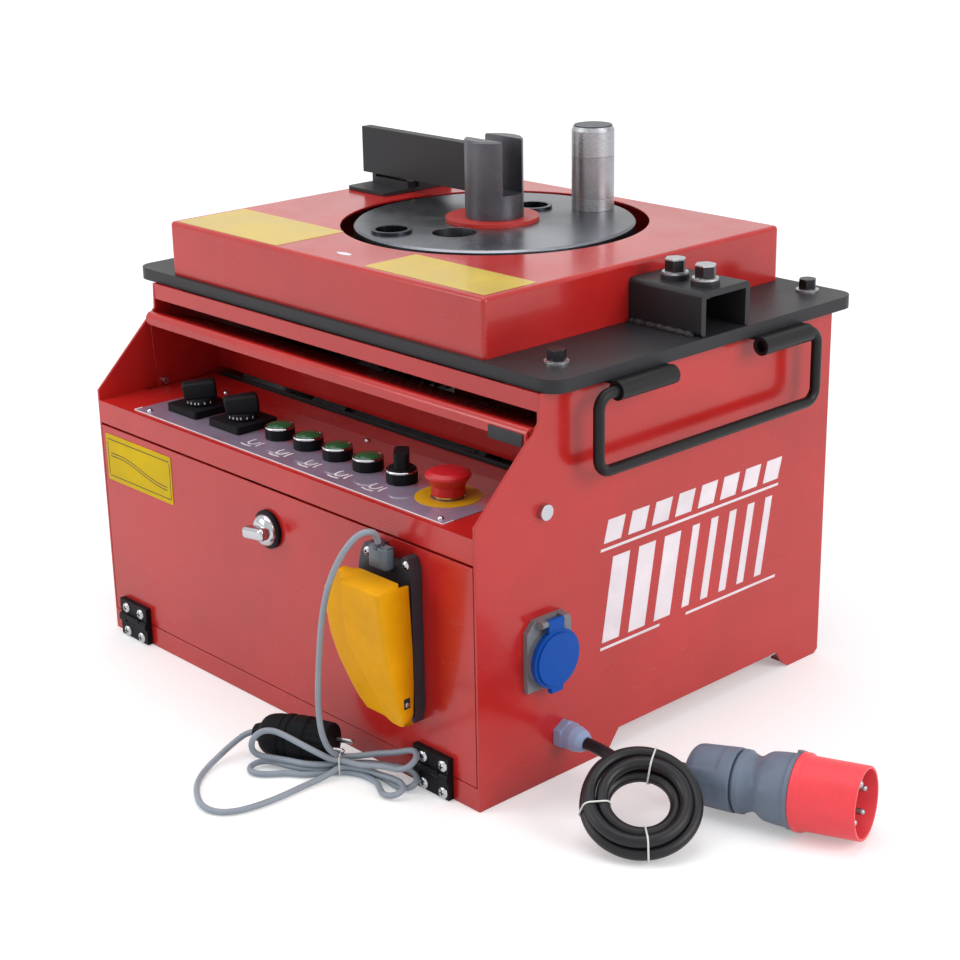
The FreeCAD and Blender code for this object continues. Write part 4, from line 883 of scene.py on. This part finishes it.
def ribbons(name, strokes, width, level, body, axis="z"):
    # flat printed lines a hair's breadth above a plate; strokes are lists of points in the plate's two directions
    points = []
    faces = []
    start = 0
    for stroke in strokes:
        # each point moved half the width to both sides along the mean normal of its two runs
        stroke = np.array(stroke, float)
        way = np.gradient(stroke, axis=0)
        way /= np.linalg.norm(way, axis=1)[:, None]
        normal = np.stack((-way[:, 1], way[:, 0]), -1) * width / 2.0
        for height in (level, level + 0.12):
            points += [onPlane(stroke + normal, height, axis), onPlane(stroke - normal, height, axis)]
        count = len(stroke)
        order = np.array((0, 1, 3, 2)) * count + start          # the four edges in turn round the stroke
        i = np.arange(count - 1)
        for a, b in zip(order, np.roll(order, -1)):
            faces.append(np.stack((a + i, b + i, b + i + 1, a + i + 1), -1))
        faces += [order[None], (order + count - 1)[None, ::-1]]
        start += 4 * count
    return putMesh(name, spots(np.concatenate(points)), np.concatenate(faces), body, smooth=False, merge=1e-8)


def blocks(name, boxes, body, rim=0.3):
    # several boxes in one mesh; each is (centre, size, angle about z) in mm, its rim rounded by a Bevel modifier
    around = ((-0.5, -0.5), (0.5, -0.5), (0.5, 0.5), (-0.5, 0.5))
    corner = np.array([(x, y, z) for z in (-0.5, 0.5) for x, y in around])
    sides = np.array(((0, 3, 2, 1), (4, 5, 6, 7), (0, 1, 5, 4), (1, 2, 6, 5), (2, 3, 7, 6), (3, 0, 4, 7)))
    centre = np.array([box[0] for box in boxes], float)[:, None]
    x, y, z = np.moveaxis(corner * np.array([box[1] for box in boxes], float)[:, None], -1, 0)
    angle = np.radians([box[2] if len(box) > 2 else 0.0 for box in boxes])[:, None]
    points = np.stack((x * np.cos(angle) - y * np.sin(angle), x * np.sin(angle) + y * np.cos(angle), z), -1) + centre
    faces = (sides + 8 * np.arange(len(boxes))[:, None, None]).reshape(-1, 4)
    return roundRim(putMesh(name, spots(points.reshape(-1, 3)), faces, body, smooth=False, merge=0), rim)


# Controls on the console

controlValues = {"shelf": 249.5, "buttons": (-37.5, 5.7, 48.8, 92.0), "buttonDepth": 54.0,
                 "selector": (139.6, 53.0), "stop": (197.8, 55.7), "switches": ((-163.0, 52.0), (-93.5, 52.0)),
                 "switchTurn": 58.0, "gripSize": (36.0, 19.0, 17.5), "ticks": (-95, -75, -58, -44, -20, 5)}
rimProfile = [(12.35, 10.6), (14.3, 10.6), (14.6, 11.1), (14.4, 12.0), (13.9, 12.6), (13.0, 12.8), (12.35, 12.4)]


def makeRims():
    v = controlValues
    places = {"button_rim_%d" % number: (x, v["buttonDepth"]) for number, x in enumerate(v["buttons"], 1)}
    places["selector_rim"] = v["selector"]
    for name, place in places.items():
        rim = turned(name, rimProfile, (*place, v["shelf"]), (0, 0, 1), "machine", 64, closed=True, sharpAngle=70.0)
        dress(rim, "chromePlate")
    profile = [(7.8, 0.8), (13.6, 0.8), (13.75, 1.4), (13.7, 3.4), (13.2, 4.2), (7.8, 4.2)]
    ring = turned("stop_ring", profile, (*v["stop"], v["shelf"]), (0, 0, 1), "machine", 64, closed=True)
    dress(ring, "brassRing")


def knobShape(points):
    # the grip is narrow at its foot and fullest half way up; its far end leans in and its top slopes
    height = points[:, 2] / controlValues["gripSize"][2] + 0.5
    raised = np.clip(height, 0, 1)
    shaped = points.copy()
    shaped[:, 0] *= 1.0 - 0.24 * np.clip(1 - 2.2 * height, 0, 1) ** 2
    shaped[:, 0] *= np.where(points[:, 0] > 0, 1.0 - 0.20 * raised ** 2, 1.0)
    shaped[:, 1] *= 1.04 - 0.16 * height
    shaped[:, 2] += 1.4 * raised * points[:, 0] / 18.0
    return shaped


def makeSwitches():
    v = controlValues
    turn = math.radians(v["switchTurn"])
    matrix = np.array(((math.cos(turn), -math.sin(turn), 0), (math.sin(turn), math.cos(turn), 0), (0, 0, 1)))
    profile = [(0, 8.3), (14.0, 8.3), (14.6, 8.9), (14.6, 13.4), (14.0, 14.6), (12.5, 15.0), (0, 15.0)]
    for number, (x, y) in enumerate(v["switches"], 1):
        body = "cam_knob_%d" % number
        dial = turned("switch_dial_%d" % number, profile, (x, y, v["shelf"]), (0, 0, 1), body, 72)
        place = (x, y, v["shelf"] + 21.9)
        grip = softBox("switch_grip_%d" % number, place, v["gripSize"], 3.0, body, matrix, 6, knobShape)
        dress(dial, "switchPlastic")
        dress(grip, "switchPlastic")
        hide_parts("cam_knob_%d" % number)
        ticks = []
        for angle in v["ticks"]:
            a = math.radians(angle)
            place = (x + 14.6 * math.cos(a), y + 14.6 * math.sin(a), v["shelf"] + 11.2)
            ticks.append((place, (0.4, 1.2, 2.4), angle))
        dress(blocks("switch_marks_%d" % number, ticks, body, rim=0.15), "whitePrint")


def makeLabel():
    plate = slab("label_plate", roundedOutline(-213.0, 245.0, 7.0, 112.0), 249.5, 250.1, "machine")
    dress(roundRim(plate, 0.2), "labelFilm")
    # painted highlight: pale strips along the label's front and side edges stand in for the light caught by its
    # bevelled rim
    highlightEdges = [((16.0, 6.6, 249.95), (457.0, 0.9, 0.9)), ((244.6, 13.0, 249.95), (0.9, 12.0, 0.9)),
             ((-212.6, 11.0, 250.2), (0.9, 9.0, 0.9))]
    dress(blocks("label_edge_highlight", highlightEdges, "machine", rim=0.2), "edgeWhite")
    # a hook, a bar and a dash at each control
    shapes = ([(-6.0, 8.0), (-6.5, 3.0), (-5.0, -1.5), (-1.5, -3.5), (2.0, -2.0), (3.2, 2.0), (3.0, 6.0)],
              [(7.0, 7.0), (7.4, 1.0), (8.6, -4.0)], [(-8.5, -6.5), (-3.0, -7.5), (5.0, -6.5)])
    strokes = [[(x - 4.0 + 1.1 * a, 25.0 + 1.1 * b) for a, b in shape]
               for x in (*controlValues["buttons"], controlValues["selector"][0]) for shape in shapes]
    dress(ribbons("label_marks", strokes, 1.9, 250.08, "machine"), "whitePrint")
    profile = [(0, 0), (2.9, 0), (2.9, 0.8), (2.2, 1.8), (1.0, 2.3), (0, 2.4)]
    for number, (x, y) in enumerate(((-197.0, 14.0), (-193.0, 104.0), (30.0, 105.0), (234.0, 14.0)), 1):
        screw = turned("label_screw_%d" % number, profile, (x, y, 250.0), (0, 0, 1), "machine", 28)
        dress(screw, "chromePlate")


makeRims()
makeSwitches()
makeLabel()
print("controls made")

# Plates, marks, seals and fasteners

def weldShape(angle, distance, radius):
    # overlapping ripples of a hand-run bead
    return radius * (1.0 + 0.10 * np.sin(distance * 1.9) + 0.12 * np.sin(distance * 0.53 + 1.0))


def makeWeld():
    profile = fineProfile([(0, 0.3), (0.6, 2.2), (2, 3.4), (5, 3.8), (72, 3.8), (75, 3.2), (76.5, 1.8), (77, 0.3)])
    dress(roundBody("socket_weld", profile, (217.0, 262.4, 369.6), (294.0, 262.4, 369.6), 24, weldShape),
          "charcoalCoat")


def makeSheets():
    dress(slab("door_plate", roundedOutline(-260.0, -145.0, 167.5, 217.0), -0.45, -0.02, "door", "y"), "labelYellow")
    t = np.linspace(0, 1, 24)
    curve = np.stack((-252.0 + 98.0 * t, 194.0 - 13.0 * wave(t, 0.15, 0.95)), -1)
    strokes = [[(-256.5, 211.5), (-148.5, 211.5)], [(-256.5, 172.5), (-148.5, 172.5)],
               [(-257.0, 208.0), (-257.0, 174.0)], [(-148.0, 210.0), (-148.0, 173.0)], curve, curve + (0.0, 3.2)]
    dress(ribbons("door_plate_lines", strokes, 0.9, -0.55, "door", "y"), "blackPrint")
    angle = circle(48)
    oval = np.stack((-1.0 + 10.0 * np.cos(angle), 111.0 + 4.0 * np.sin(angle)), -1)
    for name, outline, finishName in (("cover_sheet_left", roundedOutline(-237.0, -75.0, 89.0, 172.0), "sheetYellow"),
                                      ("cover_sheet_right", roundedOutline(50.0, 208.0, 92.0, 155.0), "sheetYellow"),
                                      ("cover_oval", oval, "whitePrint")):
        dress(slab(name, outline, 423.0, 423.25, "machine"), finishName)


panelX = 291.0


def makePanelMarks():
    # two lines with slanted bars between and above them, in place of lettering: y0, y1, z0, z1 and lean of each
    bars = [(148, 392, 197, 199.6, 0.5), (148, 226, 103, 105.6, 0.5), (262, 392, 103, 105.6, 0.5)]
    bars += [(y, y + 22, 204, 225, 6) for y in range(152, 370, 31)]
    bars += [(y, y + 22, 110, 189, 14) for y in (150, 184, 218)]
    bars += [(y, y + 10, 112, 189, 14) for y in (256, 282, 308, 334, 360)]
    for number, (y0, y1, z0, z1, lean) in enumerate(bars, 1):
        outline = ((y0, z0), (y1, z0), (y1 + lean, z1), (y0 + lean, z1))
        dress(slab("panel_mark_%d" % number, outline, panelX - 0.02, panelX + 0.18, "machine", "x"), "whitePrint")


def makeSeals():
    strips = [((34.0, 143.5, 246.2), (506.0, 2.6, 12.4)), ((-238.0, 143.6, 246.6), (35.0, 2.8, 11.6)),
              ((90.0, 143.2, 246.6), (86.0, 2.8, 12.0)), ((238.0, 143.2, 246.6), (92.0, 2.8, 12.0))]
    dress(blocks("slot_seal", strips, "machine", rim=0.5), "rubberBlack")
    block = softBox("rail_block", (264.0, 61.15, 318.6), (41.0, 1.6, 11.5), 0.6, "control_cover")
    dress(block, "rubberDark")


def makeHingeScrews():
    # domed heads with a crossed recess painted as shade in two near-black bars, four on each hinge: two on the fixed
    # leaf, two on the moving one
    profile = [(0, 0), (5.6, 0), (5.6, 0.5), (4.9, 1.5), (3.2, 2.2), (0, 2.4)]
    places = [(x, z, body) for x in (-238.4, -213.2, 225.5, 251.0) for z, body in ((6.3, "machine"), (31.9, "door"))]
    for number, (x, z, body) in enumerate(places, 1):
        head = turned("hinge_screw_%d" % number, profile, (x, -6.0, z), (0, -1, 0), body, 36)
        dress(head, "chromePlate")
        cross = [((x, -8.25, z), (5.4, 0.5, 1.2)), ((x, -8.25, z), (1.2, 0.5, 5.4))]
        dress(blocks("hinge_cross_%d" % number, cross, body, rim=0.2), "gapBlack")


def makeLatch():
    place = (11.0, 0.0, 185.0)
    low = [(6.5, 0.1), (18.2, 0.1), (18.6, 0.8), (18.4, 3.6), (17.6, 4.4), (15.0, 4.6), (6.5, 4.6)]
    high = [(0, 3.8), (15.4, 3.8), (15.6, 5.0), (14.6, 8.0), (12.0, 10.6), (8.0, 12.2), (0, 12.8)]
    ring = turned("latch_ring", low, place, (0, -1, 0), "door_latch", 72, closed=True)
    dome = turned("latch_dome", high, place, (0, -1, 0), "door_latch", 72)
    tilt = math.radians(-8.0)
    matrix = np.array(((math.cos(tilt), 0, math.sin(tilt)), (0, 1, 0), (-math.sin(tilt), 0, math.cos(tilt))))
    wing = softBox("latch_wing", (11.0, -16.0, 185.0), (31.0, 12.0, 12.0), 4.2, "door_latch", matrix, 6)
    dress(ring, "switchPlastic")
    dress(dome, "chromePlate")
    dress(wing, "chromePlate")
    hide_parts("door_latch")


makeWeld()
makeSheets()
makePanelMarks()
makeSeals()
makeHingeScrews()
makeLatch()
print("plates, marks and fasteners made")

# Lights, surroundings and floor

lampValues = {
    "over": {"place": (-0.3, -0.2, 2.6), "aim": (0.0, 0.0, 0.3), "size": 2.4, "power": 30.0},
    "front": {"place": (-1.6, -2.6, 1.5), "aim": (0.0, -0.2, 0.25), "size": 1.6, "power": 33.0},
    "right": {"place": (2.8, 0.6, 1.5), "aim": (0.2, 0.0, 0.25), "size": 1.6, "power": 44.0},
}
surroundings = {"light": (0.95, 0.97, 1.0), "lightStrength": 0.55, "floor": (0.80, 0.80, 0.80), "floorSize": 12.0,
                "glowNear": 0.3, "glowFar": 0.62}


def makeLamps():
    for name, values in lampValues.items():
        data = bpy.data.lights.new(name, "AREA")
        data.shape = "SQUARE"
        data.size = values["size"]
        data.energy = values["power"]
        lamp = addObject(name, data)
        lamp.location = values["place"]
        way = Vector(values["aim"]) - Vector(values["place"])
        lamp.rotation_euler = way.to_track_quat("-Z", "Y").to_euler()


def seenRays(tree):
    # 1 for what the camera sees straight, in gloss or through glass, else 0
    rays = addNode(tree, "ShaderNodeLightPath").outputs
    seen = maths(tree, "MAXIMUM", rays["Is Camera Ray"], rays["Is Glossy Ray"])
    return maths(tree, "MAXIMUM", seen, rays["Is Transmission Ray"])


def makeWorld():
    # white to the camera, in gloss and through glass; a softer grey light on the object
    world = bpy.data.worlds.new("studio")
    bpy.context.scene.world = world
    world.use_nodes = True
    tree = world.node_tree
    tree.nodes.clear()
    seen = addNode(tree, "ShaderNodeBackground", Color=(1, 1, 1, 1), Strength=1.0)
    light = addNode(tree, "ShaderNodeBackground", Color=(*surroundings["light"], 1),
                    Strength=surroundings["lightStrength"])
    mix = addNode(tree, "ShaderNodeMixShader", seenRays(tree), light.outputs["Background"],
                  seen.outputs["Background"])
    addNode(tree, "ShaderNodeOutputWorld", Surface=mix.outputs["Shader"])


def makeFloor():
    # a pale floor; what the camera sees has a glow added, so that it is white outside the object's shadow
    size = surroundings["floorSize"]
    corners = np.array(((-size, -size, 0), (size, -size, 0), (size, size, 0), (-size, size, 0)))
    floor = putMesh("floor", corners, [(0, 1, 2, 3)], None, smooth=False, merge=0)
    floor.location.z = -0.0004
    tree, shader = newFinish("floorWhite", 0.7, specular=0.2)
    shader.inputs["Base Color"].default_value = (*surroundings["floor"], 1)
    far = addNode(tree, "ShaderNodeVectorMath", objectPlace(tree), operation="LENGTH").outputs["Value"]
    level = spread(tree, far, surroundings["glowNear"], surroundings["glowFar"], 1.0, 3.5)
    strength = maths(tree, "MULTIPLY", seenRays(tree), level)
    glow = addNode(tree, "ShaderNodeEmission", Color=(1, 1, 1, 1), Strength=strength)
    both = addNode(tree, "ShaderNodeAddShader", shader.outputs["BSDF"], glow.outputs["Emission"])
    tree.links.new(both.outputs["Shader"], tree.nodes["Material Output"].inputs["Surface"])
    dress(floor, "floorWhite")


makeLamps()
makeWorld()
makeFloor()
bpy.context.scene.view_settings.view_transform = "Standard"
print("lamps, surroundings and floor made")
